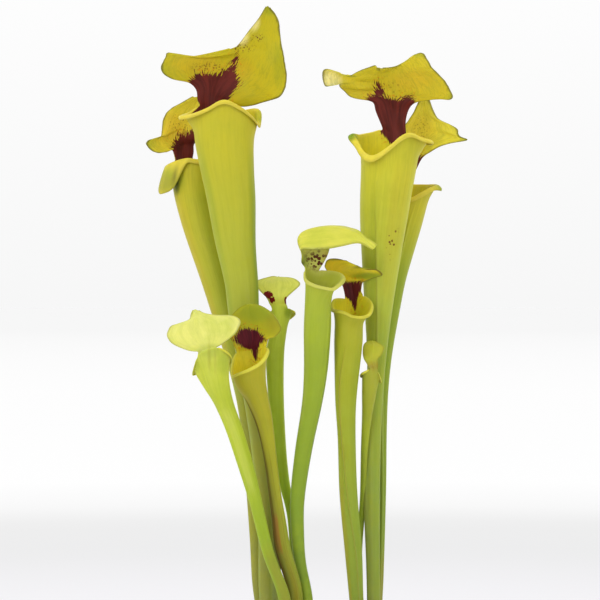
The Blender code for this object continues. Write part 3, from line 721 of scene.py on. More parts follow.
tall_left_front = dict(
    MATURE,
    route=[
        (118, -38, -2, 4.0), (131, -38, -2, 4.0), (195, -47, -2, 4.0), (259, -47.5, -3, 4.5),
        (315, -51.5, -5, 6.0), (371, -58, -5, 9.2), (425, -65, -6, 12.4), (447, -66.5, -6, 13.4),
        (481, -71.5, -6, 16.4), (516, -75.0, -6, 19.6), (537, -77.8, -6, 21.4), (562, -80.4, -6, 23.6),
        (580.6, -80, -6, 24.5),
    ],
    front=25, back=205, column=32, petiole=1.5, lip_size=0.6, speck_size=0.42, tube_veins=0.05, streaks=0.14,
    wing=[(118, 80, 3.0), (195, 80, 7.0), (260, 72, 6.0), (320, 55, 3.5), (420, 30, 0.6), (580, 25, 0.2)],
    rim=[
        (0, 11, 3, 2), (30, 6, 3, 2), (60, -1, 3, 2), (88, -6, 4, 2), (104, -3, 6, 1), (118, 6, 9.8, -1),
        (134, 7, 4, 1), (150, 6, 3, 1), (173, 8, 3, 1), (205, 6, 3, 1), (237, 10, 3, 1), (255, 3, 11.5, 0),
        (275, 0, 16, 1), (300, 1, 8, 2), (330, 5, 3, 2),
    ],
    ribs=[
        [(-22.5, 16, 15), (-10, 23, 17), (7, 22, 12)],
        [(-23.5, 17, 23.5), (-8.5, 22.5, 22), (14, 18, 10.4)],
        [(-30, 16, 30), (-6, 21.5, 28), (22.4, 14.5, 11.2)],
        [(-43, 12.5, 32), (-2, 20, 35), (33.6, 10, 14)],
        [(-50.5, 9, 37), (2, 18, 42), (43.5, 5, 16.5)],
        [(-50.5, 9, 43), (4.5, 17, 45), (47, 3, 22)],
        [(-48, 10, 48.5), (6.8, 15.5, 48.5), (49, 1, 29)],
        [(-45.5, 11, 52.3), (-18, 13, 49.2), (11, 13, 52.5), (30.9, 7, 46.2), (48.5, -1, 38)],
        [(-39, 13, 49), (-14.5, 13.5, 50.4), (13.5, 11.8, 54.5), (31.8, 5.9, 49.8), (47.8, -1.5, 43)],
        [(-31, 14.5, 48), (16, 10.5, 57), (47, -2, 49)],
        [(-13, 16, 50), (20, 7.5, 60.5), (45, -3, 57)],
        [(6.4, 11.5, 54.4), (25, 3, 66), (43.6, -4, 66)],
        [(19, 4, 68.8), (30, -2, 74.5), (42.4, -5.5, 74.5)],
        [(28.5, -3.5, 79.8), (33, -5, 82), (40, -7, 81.6)],
        [(33, -7, 87), (34.5, -7.5, 87.8), (36, -8, 86.5)],
    ],
    blotch=[
        (-34, 2), (-34, 14), (-31, 24), (-29, 31), (-24, 37), (-14, 37), (-4, 37), (2, 42), (7, 51), (11, 51),
        (9, 43), (9, 36), (12, 28), (6, 21), (0, 14), (-8, 6), (-17, 1),
    ],
    inside=[
        (0.0, 120, 118, 40), (0.6, 155, 152, 36), (0.88, 205, 198, 38), (1.0, 206, 190, 38),
        (1.2, 190, 175, 28), (2.0, 189, 177, 30),
    ],
    tube_tints=[
        ("green", 90, 50, 0.25, 0.99, 0.75), ("brown", 350, 60, 0.1, 0.6, 0.3),
        ("green", -60, 25, 0.5, 0.99, 0.35),
    ],
    lid_tints=[
        ("pale", 14, 65, 7, 9, 0.9), ("pale", 24, 76, 6, 9, 0.8), ("green", 36, 86, 8, 7, 0.5),
        ("green", -52, 38, 9, 14, 0.35), ("warm", -25, 44, 30, 12, 0.25), ("warm", 14, 40, 12, 12, 0.3),
        ("speck", 26, 64, 7, 4, 1.0), ("brown", 26, 64.5, 5, 1.5, 0.5), ("speck", 14, 57, 14, 5, 0.8),
        ("speck", -8, 42, 26, 5, 0.6), ("green", 44, 40, 7, 24, 0.3), ("green", 29, 1, 8, 9, 0.7),
        ("dark", 31, 7, 4, 2, 0.4),
    ],
)
make_tall_pitcher("pitcher_tall_left_front", tall_left_front)


# The second tall pitcher on the left stands behind the first. It is one leaf too, rooted by its foot in the
# rhizome. It leans out to the left, and a fold of its rim hangs down on that side.
tall_left_back = dict(
    MATURE,
    route=[
        (118, -36, 10, 4.0), (131, -36, 10, 4.0), (195, -51, 10, 4.4), (243, -54.5, 11, 4.4),
        (282, -57, 12, 4.8), (329, -60, 14, 6.2), (366, -66, 17, 7.8), (428, -81, 22, 12.0),
        (446, -85.5, 24, 13.4), (484, -96, 31, 16.4), (505, -101, 36, 18.0), (526, -104.5, 40, 19.4),
        (543, -104, 42, 20.0),
    ],
    front=42, back=222, column=26, petiole=1.6, lip_size=0.8,
    wing=[(118, 42, 1.0), (300, 42, 2.2), (540, 42, 1.2)],
    rim=[
        (0, 5, 3, 2), (30, 4, 3, 2), (60, 2, 3, 2), (90, 0, 4, 2), (120, 2, 4, 2), (150, 4, 3, 2),
        (196, 6, 3, 1), (222, 5, 3, 1), (248, 6, 4, 3), (262, 2, 11, 15), (280, 1, 14, 21), (300, 3, 11, 23),
        (318, 5, 8, 21), (330, 6, 4, 8), (340, 6, 3, 2),
    ],
    ribs=[
        [(-20, 12, 13), (-13, 17, 14), (-4, 18, 14)],
        [(-21, 11, 16), (-12.5, 17, 20), (-3.5, 18, 21)],
        [(-25, 9, 14), (-12, 16.5, 22), (2, 15, 24)],
        [(-32, 7, 12), (-12, 15.5, 24), (9, 11.5, 24)],
        [(-39, 5, 15), (-12, 14.5, 26), (17, 8, 26)],
        [(-42, 4, 20.5), (-11.5, 13.5, 29), (24, 6, 29)],
        [(-38.5, 4.5, 24), (-11, 12.8, 32), (27, 4.5, 33)],
        [(-31, 6.5, 24.8), (-10, 12, 35), (28, 3.5, 37)],
        [(-29.6, 7, 30), (-8.5, 11, 39), (28, 3, 41)],
        [(-29, 7, 37), (-7, 10, 43), (27, 2.5, 45)],
        [(-27, 6.5, 43.5), (-5, 8.8, 47), (24, 2.5, 49)],
        [(-22, 6, 49), (-3, 7.5, 51), (19, 2.5, 53)],
        [(-14, 5, 53.5), (-0.5, 6, 55), (13, 3, 56.5)],
        [(-4, 3.5, 58.2), (1.5, 3.5, 59), (6, 3, 59)],
    ],
    # The lining of its lid is lighter than an old leaf's: painted light that lifts the shade on the lid's
    # lower face.
    inside=[
        (0.0, 120, 118, 40), (0.6, 155, 152, 36), (0.88, 205, 198, 38), (1.0, 208, 194, 40),
        (1.2, 223, 206, 60), (2.0, 222, 207, 64),
    ],
    blotch=[(-24, 2), (-23, 12), (-21, 21), (-17, 29), (-9, 31), (4, 31), (6, 2)],
    tube_tints=[
        ("warm", 290, 50, 0.6, 0.98, 0.24), ("brown", 320, 80, 0.1, 0.6, 0.35),
        ("green", 20, 30, 0.7, 1.0, 0.3),
    ],
    lid_tints=[
        ("warm", -24, 34, 22, 18, 0.3), ("green", -42, 20, 8, 8, 0.4), ("green", -27, -11, 22, 17, 0.75),
        # The narrow dark tint at (-16, -10) is painted shade, in the groove beside the fold that hangs from
        # the rim.
        ("dark", -16, -10, 3, 15, 0.85), ("brown", -36, -20, 9, 6, 0.6), ("brown", -28, -14, 14, 12, 0.4),
        ("speck", -16, 38, 12, 10, 0.6),
    ],
)
make_tall_pitcher("pitcher_tall_left_back", tall_left_back)


# The tall pitcher at the front on the right, one upright leaf. Its mouth dips into a spout on the left, and
# the left end of its lid is rolled up into a pale knob on a pinched neck.
tall_right_front = dict(
    MATURE,
    route=[
        (118, 40, 0, 3.6), (131, 40, 0, 3.6), (195, 39.4, 0, 3.2), (275, 38.8, 2, 3.7), (315, 38.8, 4, 4.6),
        (355, 40, 5, 6.0), (395, 41.8, 7, 8.2), (435, 43.4, 8, 12.0), (475, 45.8, 9, 16.4),
        (500, 47.4, 10, 19.2), (520, 49, 10, 20.8), (543, 51.5, 10, 22.6), (561.3, 52.4, 10, 24.5),
    ],
    front=-28, back=168, column=24, petiole=1.5,
    wing=[
        (118, -60, 1.0), (220, -80, 1.5), (270, -85, 2.6), (320, -70, 1.6), (365, -8, 1.2), (500, -22, 0.8),
        (560, -28, 0.4),
    ],
    crest_share=0.3, lip_size=0.75, streaks=0.16, speck_grain=300.0,
    rim=[
        (0, -4, 3, 2), (15, 2, 3, 2), (36, 6, 3, 2), (60, 3, 5, 2), (85, 0, 12, 0), (110, 1, 9, 1),
        (144, 8, 3, 1), (168, 8, 3, 1), (192, 12, 3, 1), (215, 9, 3, 1), (240, 7, 3, 1), (256, 6, 4, 1),
        (270, 6, 11, 1), (284, -1, 5, 2), (300, -8, 3.5, 3), (328, -12, 4, 4),
    ],
    ribs=[
        [(-6.5, 22, 17), (3, 25, 18), (13.5, 20, 18)],
        [(-10.5, 21, 27), (2, 25, 28), (15.5, 19.5, 28)],
        [(-14, 18.5, 35.5), (0, 23.5, 35.5), (21, 16, 34.3)],
        [(-30, 13, 37.5), (-1.5, 22, 40), (33, 12, 36)],
        [(-38, 9, 43.5), (-3, 20.5, 43.5), (43, 8, 36)],
        [(-40, 6.5, 46.6), (-25, 12, 45.2), (-4, 19, 46.5), (25, 12.5, 41.5), (50.7, 4.5, 35.4)],
        [(-42.5, 3.8, 51), (-27, 10.6, 48.4), (-5, 17, 49), (22, 11, 48.5), (47, 4, 45)],
        [(-52, 0.5, 45.2), (-28, 9.6, 50.4), (-5.5, 15.5, 51), (19, 10, 54), (41.5, 3.5, 53.5)],
        [(-53, 0, 58.6), (-27, 8.8, 52), (-6, 14, 53), (15, 9, 58.5), (34, 3, 60.5)],
        [(-41.5, 3, 55.2), (-23, 8.4, 53.6), (-6.5, 12, 55), (12, 8, 63), (29.5, 3.8, 68.4)],
        [(-33.5, 5.5, 53), (-19, 8.6, 56.2), (-7, 10.5, 56.8), (9, 7.5, 64.5), (24.5, 4.5, 71.6)],
        [(-25, 6.5, 58.5), (-7.5, 9, 58), (15, 5.5, 66)],
        [(-14, 6.5, 62.3), (-8, 7, 60.5), (5, 6.5, 61.3)],
        [(-11.5, 6.5, 61.9), (-8.6, 6.5, 61.2), (-5, 6.5, 60.6)],
    ],
    blotch=[
        (2, 0), (-3, 6), (-8, 13), (-14, 26), (-17, 34), (-19, 38), (-13, 41), (-11, 50), (-8, 51), (-4, 42),
        (2, 38), (8, 37), (12, 39), (17, 41), (21, 36), (20, 22), (18, 12), (13, 5), (11, 0),
    ],
    # The skin is painted lighter than the other old leaves' up the middle of the tube: painted light that
    # lifts the soft shadow that the middle pitcher's lid casts there.
    skin=[
        (0.0, 140, 112, 60), (0.08, 138, 148, 70), (0.45, 156, 170, 76), (0.75, 178, 186, 66),
        (0.95, 194, 190, 54), (1.0, 190, 184, 50), (1.15, 174, 162, 50), (1.4, 184, 172, 50),
        (2.0, 186, 173, 48),
    ],
    tube_tints=[
        ("green", -80, 40, 0.3, 0.97, 0.08), ("green", -28, 14, 0.5, 0.95, 0.25),
        ("warm", 30, 35, 0.7, 0.98, 0.12), ("speck", 25, 18, 0.79, 0.85, 1.0),
        ("green", 40, 70, 0.1, 0.75, 0.42),
    ],
    lid_tints=[
        ("pale", -49, 51, 13, 10, 0.9), ("green", -54, 47, 5, 6, 0.4), ("dark", -9, 60.5, 2.6, 2, 0.5),
        ("warm", 18, 52, 24, 12, 0.25), ("green", 51, 36, 6, 6, 0.5), ("green", -32, 5, 7, 6, 1.0),
        ("green", 24, 72, 10, 4, 0.3), ("speck", 4, 46, 20, 7, 0.3),
    ],
)
make_tall_pitcher("pitcher_tall_right_front", tall_right_front)


# The second tall pitcher on the right, one leaf that stands behind the first and bends away to the right. Its
# lid has a notch in its right margin, and its lip rolls out into a dark green ear under that side.
tall_right_back = dict(
    MATURE,
    route=[
        (118, 38, 12, 3.6), (131, 38, 12, 3.6), (195, 43.2, 13, 3.4), (226, 44.5, 14, 3.4),
        (282, 45.5, 17, 4.1), (327, 45, 22, 5.3), (357, 45, 27, 6.6), (384, 46, 32, 8.2), (405, 48, 36, 9.5),
        (425, 50.5, 40, 10.8), (451, 54, 45, 12.8), (472, 58, 49, 15.0), (492, 62.5, 53, 16.6),
        (513, 67.5, 55, 18.0), (525.7, 70.7, 56, 18.5),
    ],
    front=17, back=197, column=24, lip_size=0.75,
    wing=[(118, 5, 1.0), (360, 10, 2.0), (520, 17, 1.2)],
    rim=[
        (0, -8, 3, 2), (30, -3, 3, 2), (60, 1, 5, 1), (80, 3, 9, 3), (105, 4, 5, 2), (130, 4, 3, 1),
        (173, 5, 3, 1), (197, 5, 3, 1), (221, 5, 3, 1), (245, 3, 3, 2), (270, 1, 6, 2), (300, -3, 3, 2),
        (330, -7, 3, 2),
    ],
    ribs=[
        [(-9.5, 14.5, 11), (-4, 17.5, 11.5), (2.4, 16.5, 11)],
        [(-9, 14, 19), (-2, 18, 20), (6, 15.5, 18.5)],
        [(-8.5, 13.5, 27), (1, 17, 27), (11, 13, 28)],
        [(-9, 12, 33), (3.5, 15.5, 33.5), (17, 10.5, 31.8)],
        [(-11, 9.5, 39), (5.5, 13, 40), (24, 7.5, 36)],
        [(-9, 7.5, 46), (7, 10.5, 46), (35, 3.5, 39)],
        [(-5, 6, 52), (8, 8.5, 51), (47.5, 0, 41.5)],
        [(-2, 4.5, 56), (9, 6.5, 56), (40.5, 0, 44.8)],
        [(1, 3, 60), (10, 4.5, 60.5), (38, 0, 51)],
        [(3.5, 2, 64.5), (10.8, 3, 65), (24, 0, 57)],
        [(6, 1, 70), (11.5, 1, 70), (19, -0.5, 64)],
        [(8.5, -1, 75), (12, -1.5, 75.5), (16, -2, 72.5)],
        [(11, -3.5, 81), (12, -4, 82), (13.5, -4, 81)],
    ],
    # The lining of its lid is lighter than an old leaf's: painted light that stands in for light shining
    # through the thin lid.
    inside=[
        (0.0, 120, 118, 40), (0.6, 155, 152, 36), (0.88, 200, 192, 40), (1.0, 208, 194, 44),
        (1.2, 229, 216, 68), (2.0, 228, 215, 74),
    ],
    blotch=[(-8, 9), (-16, 14), (-16, 28), (0, 31), (8, 30), (17, 28), (16, 9)],
    tube_tints=[
        ("green", 40, 110, 0.1, 0.96, 0.75), ("green", -60, 60, 0.1, 0.6, 0.6),
        ("brown", 40, 60, 0.0, 0.3, 0.5),
    ],
    lid_tints=[
        ("warm", 8, 50, 20, 20, 0.2), ("green", 47, 41, 6, 5, 0.5), ("green", 28, 1, 11, 9, 0.75),
        ("dark", 31, -1, 5, 4, 0.5), ("speck", 10, 50, 10, 20, 0.4),
    ],
)
make_tall_pitcher("pitcher_tall_right_back", tall_right_back)


# The young pitcher at the front on the left has its back to the viewer: its pale lid leans away over its
# mouth, and a groove runs up the back of its neck. A young leaf is greener and smoother than an old one.
YOUNG = dict(
    MATURE,
    wing_width=0.8, curl=(1.2, 0.5), wave=(0.4, 2.2, 0.3), ripple=0.7, lid_from=(0.05, 0.25), lip_size=0.6,
    blotch=[], tube_tints=[],
    skin=[
        (0.0, 140, 112, 60), (0.08, 130, 146, 56), (0.5, 156, 178, 54), (0.8, 182, 195, 56),
        (0.95, 194, 201, 76), (1.1, 207, 208, 108), (1.4, 216, 215, 120), (2.0, 219, 219, 126),
    ],
    inside=[
        (0.0, 130, 140, 40), (0.7, 170, 176, 40), (0.95, 222, 214, 48), (1.2, 218, 208, 56),
        (2.0, 222, 216, 72),
    ],
    mottle=srgb(168, 184, 48), red=srgb(112, 14, 22), pale=srgb(222, 222, 132), vein=srgb(140, 158, 38),
    lip_colour=srgb(208, 204, 84), edge_share=0.3, lid_veins=0.12, show_through=0.0,
)
small_left_front = dict(
    YOUNG,
    route=[
        (118, -29, -10, 3.8), (131, -29, -10, 3.8), (195, -31.6, -16, 4.2), (235, -45, -23, 4.0),
        (275, -54.5, -32, 4.4), (300, -61, -39, 5.4), (335, -71.5, -48, 6.4), (356, -79.5, -55, 7.6),
        (370, -84.5, -59, 9.6), (384, -87.2, -62, 13.1),
    ],
    front=156, back=336, column=38, petiole=0.8,
    wing=[(118, 156, 0.4), (380, 156, 0.8)],
    rim=[
        (15, 14, 2, 1), (50, 11, 2, 1), (90, 6, 2, 1), (135, 0, 2, 1), (180, -4, 2, 1), (225, -5, 2, 1),
        (258, -6, 3, 1), (276, -4, 5, 3), (290, 4, 2, 1), (300, 8, 1.5, 0.5), (336, 11, 2, 1),
    ],
    ribs=[
        [(-11.3, -8, 11), (-3.5, -11.5, 14), (4, -10.5, 15.5)],
        [(-19, -7.5, 12.3), (-4, -10.5, 17), (9, -8.5, 18)],
        [(-31, -3.5, 17), (-5.5, -7, 21.5), (15.5, -4, 23.3)],
        [(-35.5, 1.5, 23.5), (-7.5, -2, 26.5), (19, -0.5, 28.5)],
        [(-33, 6, 30.5), (-9.5, 3, 31.5), (21, 3.5, 34.8)],
        [(-28, 8.5, 32.6), (-11, 7, 35.5), (16, 8.5, 38)],
        [(-19, 11, 35.5), (-12.5, 10.5, 38.5), (3.5, 11, 38.8)],
        [(-17.5, 13.5, 39.5), (-13.5, 13.5, 41), (-6, 13, 40.5)],
        [(-16, 15, 43), (-14.5, 15, 43.6), (-11.5, 14.8, 42.8)],
    ],
    tube_tints=[
        # The pale tint at 355 degrees, high on the side of the tube that faces the viewer, is a painted
        # highlight.
        ("green", 60, 40, 0.5, 0.95, 0.2), ("pale", 355, 40, 0.6, 0.9, 0.22),
        ("green", 0, 90, 0.35, 0.62, 0.15), ("brown", 20, 80, 0.0, 0.5, 0.45),
    ],
    lid_tints=[
        ("pale", 19, 32, 5, 9, 0.3), ("dark", -17, -6, 3.5, 3, 0.6), ("brown", -2.5, 8, 1.6, 16, 0.3),
        ("brown", 2, 4, 1.2, 14, 0.25), ("green", -3, 12, 13, 8, 0.3), ("green", 8, 2, 6, 12, 0.3),
        ("green", -14, -1, 5, 8, 0.45),
    ],
)
make_pitcher("pitcher_small_left_front", small_left_front)


# The pitcher beside it faces the viewer. It is an older, browner leaf with a purplish throat, and a broad
# dark wing stands out along its left side.
small_left_mid = dict(
    YOUNG,
    route=[
        (118, -26, 1, 3.6), (131, -26, 1, 3.6), (198, -21, -6, 3.4), (239, -31.5, -12, 3.8),
        (260, -34.5, -15, 3.3), (285, -38.5, -19, 3.1), (312, -42.5, -24, 4.0), (335, -46.5, -28, 5.6),
        (348, -50, -31, 7.4), (370, -57.5, -35, 10.8), (387, -59.2, -37, 14.1),
    ],
    front=-80, back=172, column=58, petiole=0.1, wing_width=1.2,
    crest_share=0.9, crest_colour=srgb(80, 58, 18),
    wing=[
        (118, -80, 2.0), (198, -84, 5.0), (239, -84, 5.0), (285, -82, 3.6), (312, -80, 2.4), (348, -80, 1.8),
        (387, -80, 1.2),
    ],
    rim=[
        (0, -6, 2, 1), (35, -1, 2, 1), (75, 7, 2, 1), (114, 10, 2, 1), (172, 8, 2, 1), (230, 6, 1.5, 1),
        (252, -2, -1.2, 0), (280, -11, -0.8, 0.3), (305, -11, 1.2, 1), (330, -9, 2, 1),
    ],
    ribs=[
        [(-12, 8.5, 10), (1, 13, 12), (13.5, 7.5, 14)],
        [(-14, 8, 15), (2, 12.5, 17.5), (14.5, 7, 17.3)],
        [(-17, 6, 20), (1.5, 11.5, 23), (19.5, 5, 19)],
        [(-18.5, 4.5, 27), (1, 9.5, 28.5), (24.3, 3, 24.5)],
        [(-16.5, 3.5, 33), (0.5, 7.5, 33.5), (22, 2.5, 31.5)],
        [(-12.5, 3, 38), (0, 5.5, 38), (17, 2, 38)],
        [(-7.5, 2.5, 42.5), (-0.5, 3.5, 42), (9.5, 2, 42.5)],
        [(-3, 2, 44.5), (-0.5, 2.2, 45), (3, 2, 44.8)],
    ],
    blotch=[
        (-14, 18), (-9, 24), (-6, 27), (0, 25), (5, 25.5), (9, 21), (13, 17), (8, 13), (6.4, 9), (5.8, 1),
        (4, -1), (2.2, 4), (1, 9), (-3, 9.5), (-7, 11), (-11, 14),
    ],
    skin=[
        (0.0, 140, 112, 60), (0.08, 124, 128, 48), (0.4, 152, 152, 54), (0.7, 168, 166, 50),
        (0.95, 178, 168, 46), (1.2, 178, 174, 44), (2.0, 175, 177, 46),
    ],
    inside=[
        (0.0, 120, 118, 35), (0.7, 215, 202, 50), (0.95, 234, 220, 58), (1.15, 208, 194, 40),
        (1.4, 172, 168, 34), (2.0, 168, 168, 36),
    ],
    tube_tints=[
        ("brown", 290, 50, 0.3, 0.99, 0.22), ("warm", -30, 40, 0.2, 0.42, 0.12),
        ("warm", -62, 20, 0.42, 0.56, 0.8), ("green", 40, 40, 0.1, 0.6, 0.3),
        ("brown", -20, 7, 0.1, 0.8, 0.5), ("brown", 12, 5, 0.15, 0.6, 0.45),
    ],
    lid_tints=[("green", 6, 38, 20, 10, 0.45), ("brown", 18, 30, 8, 12, 0.2), ("speck", 0, 27, 12, 5, 0.6)],
    mottle=srgb(160, 154, 46), warm=srgb(186, 112, 52), brown=srgb(112, 84, 34), maroon=srgb(96, 24, 36),
    maroon_deep=srgb(66, 15, 26), fringe=11.0,
)
make_pitcher("pitcher_small_left_mid", small_left_mid)


# A young pitcher at the back, seen from behind, with a level lid and a narrow neck. Small red scars mark the
# root of its lid, and its lip rolls out into an ear on the right.
small_left_back = dict(
    YOUNG,
    route=[
        (118, -23, 13, 3.6), (131, -23, 13, 3.6), (195, -23, 13, 3.6), (257, -26.6, 13, 3.3),
        (275, -29.8, 13, 3.8), (292, -33.8, 13, 5.0), (315, -36.6, 13, 5.6), (356, -39.4, 13, 6.4),
        (393, -40, 14, 7.4), (411, -37, 14, 6.9), (422, -36.1, 14, 7.5),
    ],
    front=180, back=0, column=58,
    wing=[(118, 180, 0.4), (420, 180, 0.6)],
    # Its skin is painted lighter than a young leaf's: painted light that lifts the shade it stands in behind
    # the pitchers in front.
    skin=[
        (0.0, 140, 112, 60), (0.08, 134, 156, 48), (0.5, 186, 212, 68), (0.8, 202, 219, 72),
        (0.97, 200, 211, 80), (1.12, 208, 212, 90), (1.4, 222, 224, 108), (2.0, 224, 226, 112),
    ],
    rim=[
        (0, 8, 1.5, 1), (58, 6, 2, 1), (80, 4, 5, 0.5), (105, 2.5, 6.5, 1), (135, -2, 3, 1), (180, -4, 2, 1),
        (240, -3, 2, 1), (280, 0, 2, 1), (302, 5, 1.5, 1),
    ],
    ribs=[
        [(-8, -3.5, 9), (-1, -7, 10), (5, -4, 10)],
        [(-11.3, -4, 15.5), (-1.5, -7, 14.5), (5.5, -4.5, 15)],
        [(-16, -1, 20.5), (-2, -4, 19), (11, -1, 20.5)],
        [(-20, 3, 25.5), (-2, 1, 24), (16, 3.5, 26)],
        [(-18, 7, 28.5), (-2, 6.5, 28.5), (12.5, 8, 29.5)],
        [(-8, 11, 31.2), (-2, 11, 31.4), (6, 11.5, 31.2)],
        [(-3, 13, 31.8), (-1, 13, 32), (1, 13, 31.8)],
    ],
    tube_tints=[("green", 0, 90, 0.1, 0.95, 0.3)],
    lid_tints=[
        ("red", -10, 17, 6, 4.5, 1.0), ("red", -6, 13, 3, 4, 1.0), ("red", 4.6, 13, 1.6, 5, 1.0),
        ("dark", 12, 1, 2.5, 2.5, 0.3), ("green", 7, 3, 5, 7, 0.6), ("pale", -2, 30, 20, 4, 0.2),
    ],
)
make_pitcher("pitcher_small_left_back", small_left_back)


# The green pitcher in the middle turns its mouth to the right. Its pale lid arches over like a cap, and brown
# flecks run down its column.
mid_centre = dict(
    YOUNG,
    route=[
        (118, -13, -3, 4.0), (131, -13, -3, 4.0), (195, -14.4, 2, 4.8), (225, -20, 0, 4.8),
        (248, -22, -2, 5.4), (275, -22.2, -5, 5.8), (315, -17.2, -11, 6.8), (355, -10.2, -17, 8.2),
        (382, -7.4, -21, 9.6), (413, -6.2, -25, 10.8), (440, -5, -29, 10.8), (451.5, -1.1, -30, 15.0),
    ],
    front=50, back=230, column=34,
    wing=[(118, 50, 0.5), (450, 50, 0.9)],
    rim=[
        (0, -7, 2, 1), (25, -8, 2, 1), (45, -5, 2, 1), (90, 1, 2, 1), (140, 5, 2, 1), (196, 6.5, 2, 1),
        (230, 7, 2, 1), (264, 8, 3, 1), (282, 1, 3, 1), (330, -5, 2, 1),
    ],
    ribs=[
        [(-17.7, 0, 13), (-12, 10, 12), (-3, 14, 9)],
        [(-17.5, -4, 18.5), (-15, 9, 19), (1.4, 15, 17)],
        [(-17.5, -10, 23.5), (-19.5, 3, 33), (6, 17, 32)],
        [(-8, -13, 23.3), (-12.5, 3, 39), (6, 19, 41)],
        [(4, -13.5, 23.7), (1, 3, 40.6), (14, 19.5, 42.4)],
        [(15, -12, 25.8), (13, 3, 40), (20, 18, 41.6)],
        [(26, -8, 28.2), (24, 3, 36.8), (27, 13, 38.8)],
        [(33, -5, 26), (33, 1, 30.6), (32.5, 6, 33)],
        [(38, -2, 23), (40, -1, 24.6), (41.5, 0, 27.6)],
    ],
    tube_tints=[("green", 90, 60, 0.1, 0.97, 0.3), ("pale", 300, 30, 0.6, 0.97, 0.12)],
    lid_tints=[
        # The broad pale tint at (-4, 12) over the column is painted light: it lightens the column's shaded
        # face and stands for its highlights.
        ("speck", -5, 15, 15, 11, 1.0), ("brown", -5, 19, 9, 4, 0.3), ("pale", -4, 12, 16, 12, 0.45),
        ("warm", 2, 19, 6, 5, 0.4), ("dark", -18, 11, 2.5, 5, 0.9), ("green", -15, 14, 5, 6, 0.6),
        ("green", 10, 24, 26, 2.5, 0.3), ("pale", -8, 22, 16, 4, 0.4),
    ],
    speck_colour=srgb(92, 46, 28), speck_grain=400.0, speck_size=0.56, curl=(0.6, 0.3), ripple=0.5,
    lip_colour=srgb(206, 204, 104),
    skin=[
        (0.0, 140, 112, 60), (0.08, 114, 138, 54), (0.5, 137, 161, 54), (0.8, 152, 170, 55),
        (0.97, 167, 178, 60), (1.12, 192, 194, 72), (1.4, 210, 206, 84), (2.0, 212, 210, 86),
    ],
    inside=[
        (0.0, 110, 124, 40), (0.8, 150, 158, 46), (0.97, 172, 176, 62), (1.2, 196, 196, 92),
        (2.0, 190, 188, 80),
    ],
)
make_pitcher("pitcher_mid_centre", mid_centre)


# The pitcher to the right of the middle, a stout leaf that faces the viewer under a folded lid. A low wing
# winds down its front and dies out above its foot.
mid_right = dict(
    YOUNG,
    route=[
        (118, 30, -9, 4.2), (131, 30, -9, 4.2), (195, 25, -9, 5.6), (236, 22.4, -10, 7.0),
        (281, 18.5, -12, 7.2), (326, 17, -14, 7.2), (354, 16.4, -15, 8.4), (393, 18, -15, 10.9),
        (403, 18.4, -15, 11.4), (418, 19.0, -14.5, 11.6), (428.6, 21.3, -14, 15.5),
    ],
    front=0, back=172, column=28,
    wing=[(118, 20, 0.6), (225, 15, 1.2), (259, 0, 1.5), (304, -18, 1.5), (343, -35, 1.3), (428, -35, 0.6)],
    rim=[
        (0, -6.4, 2, 1), (28, -7, 2, 1), (55, -5, 2, 1), (85, 1, 2, 1), (115, 6, 2, 1), (144, 9, 2, 1),
        (172, 6, 2, 1), (200, 7, 2, 1), (250, 6, 2, 1), (280, -1, 2, 1), (332, -3, 2, 1),
    ],
    ribs=[
        [(-6, 14, 13.5), (1, 16, 13.5), (7.5, 13, 14)],
        [(-8, 14, 19), (0, 16, 20), (9, 13, 20.6)],
        [(-15, 14, 25), (0, 14, 25), (13, 10, 23)],
        [(-21, 12, 32), (-1, 9, 28.6), (21.5, 5, 25.4)],
        [(-19, 9, 38), (0, 4, 31), (24, 0, 27)],
        [(-11, 5, 39), (2.4, -1, 32.5), (19, -5, 30)],
        [(-4, 1, 37.5), (4.5, -3.5, 33.5), (12, -6, 30.5)],
    ],
    blotch=[(-9, 10), (-9, 21), (9, 22), (8, 15), (5, 8), (4.4, -2), (3, -4), (1.4, 0), (-1, 6), (-4, 8)],
    skin=[
        (0.0, 140, 112, 60), (0.08, 119, 138, 54), (0.45, 143, 159, 57), (0.8, 164, 170, 50),
        (0.97, 170, 168, 48), (1.2, 175, 168, 52), (2.0, 178, 171, 56),
    ],
    inside=[
        (0.0, 130, 130, 38), (0.7, 165, 160, 36), (0.95, 214, 204, 38), (1.2, 224, 202, 42),
        (2.0, 230, 210, 54),
    ],
    tube_tints=[
        ("warm", -60, 30, 0.1, 0.6, 0.25), ("green", 60, 50, 0.3, 0.95, 0.3),
        ("brown", -35, 9, 0.3, 0.9, 0.3),
    ],
    lid_tints=[
        ("warm", -14, 34, 14, 7, 0.3), ("green", 14, 26, 18, 4, 0.75), ("green", -16, 27.5, 10, 2, 0.8),
        ("dark", -10, 39, 12, 1.6, 0.7), ("dark", 6, 33, 8, 1.4, 0.5),
    ],
    crest_share=0.2, crest_colour=srgb(150, 112, 40), lip_size=0.42,
    edge_share=0.75, edge_colour=srgb(86, 70, 30), mottle=srgb(158, 158, 36),
    maroon=srgb(96, 30, 30), maroon_deep=srgb(66, 20, 22), fringe=11.0,
)
make_pitcher("pitcher_mid_right", mid_right)


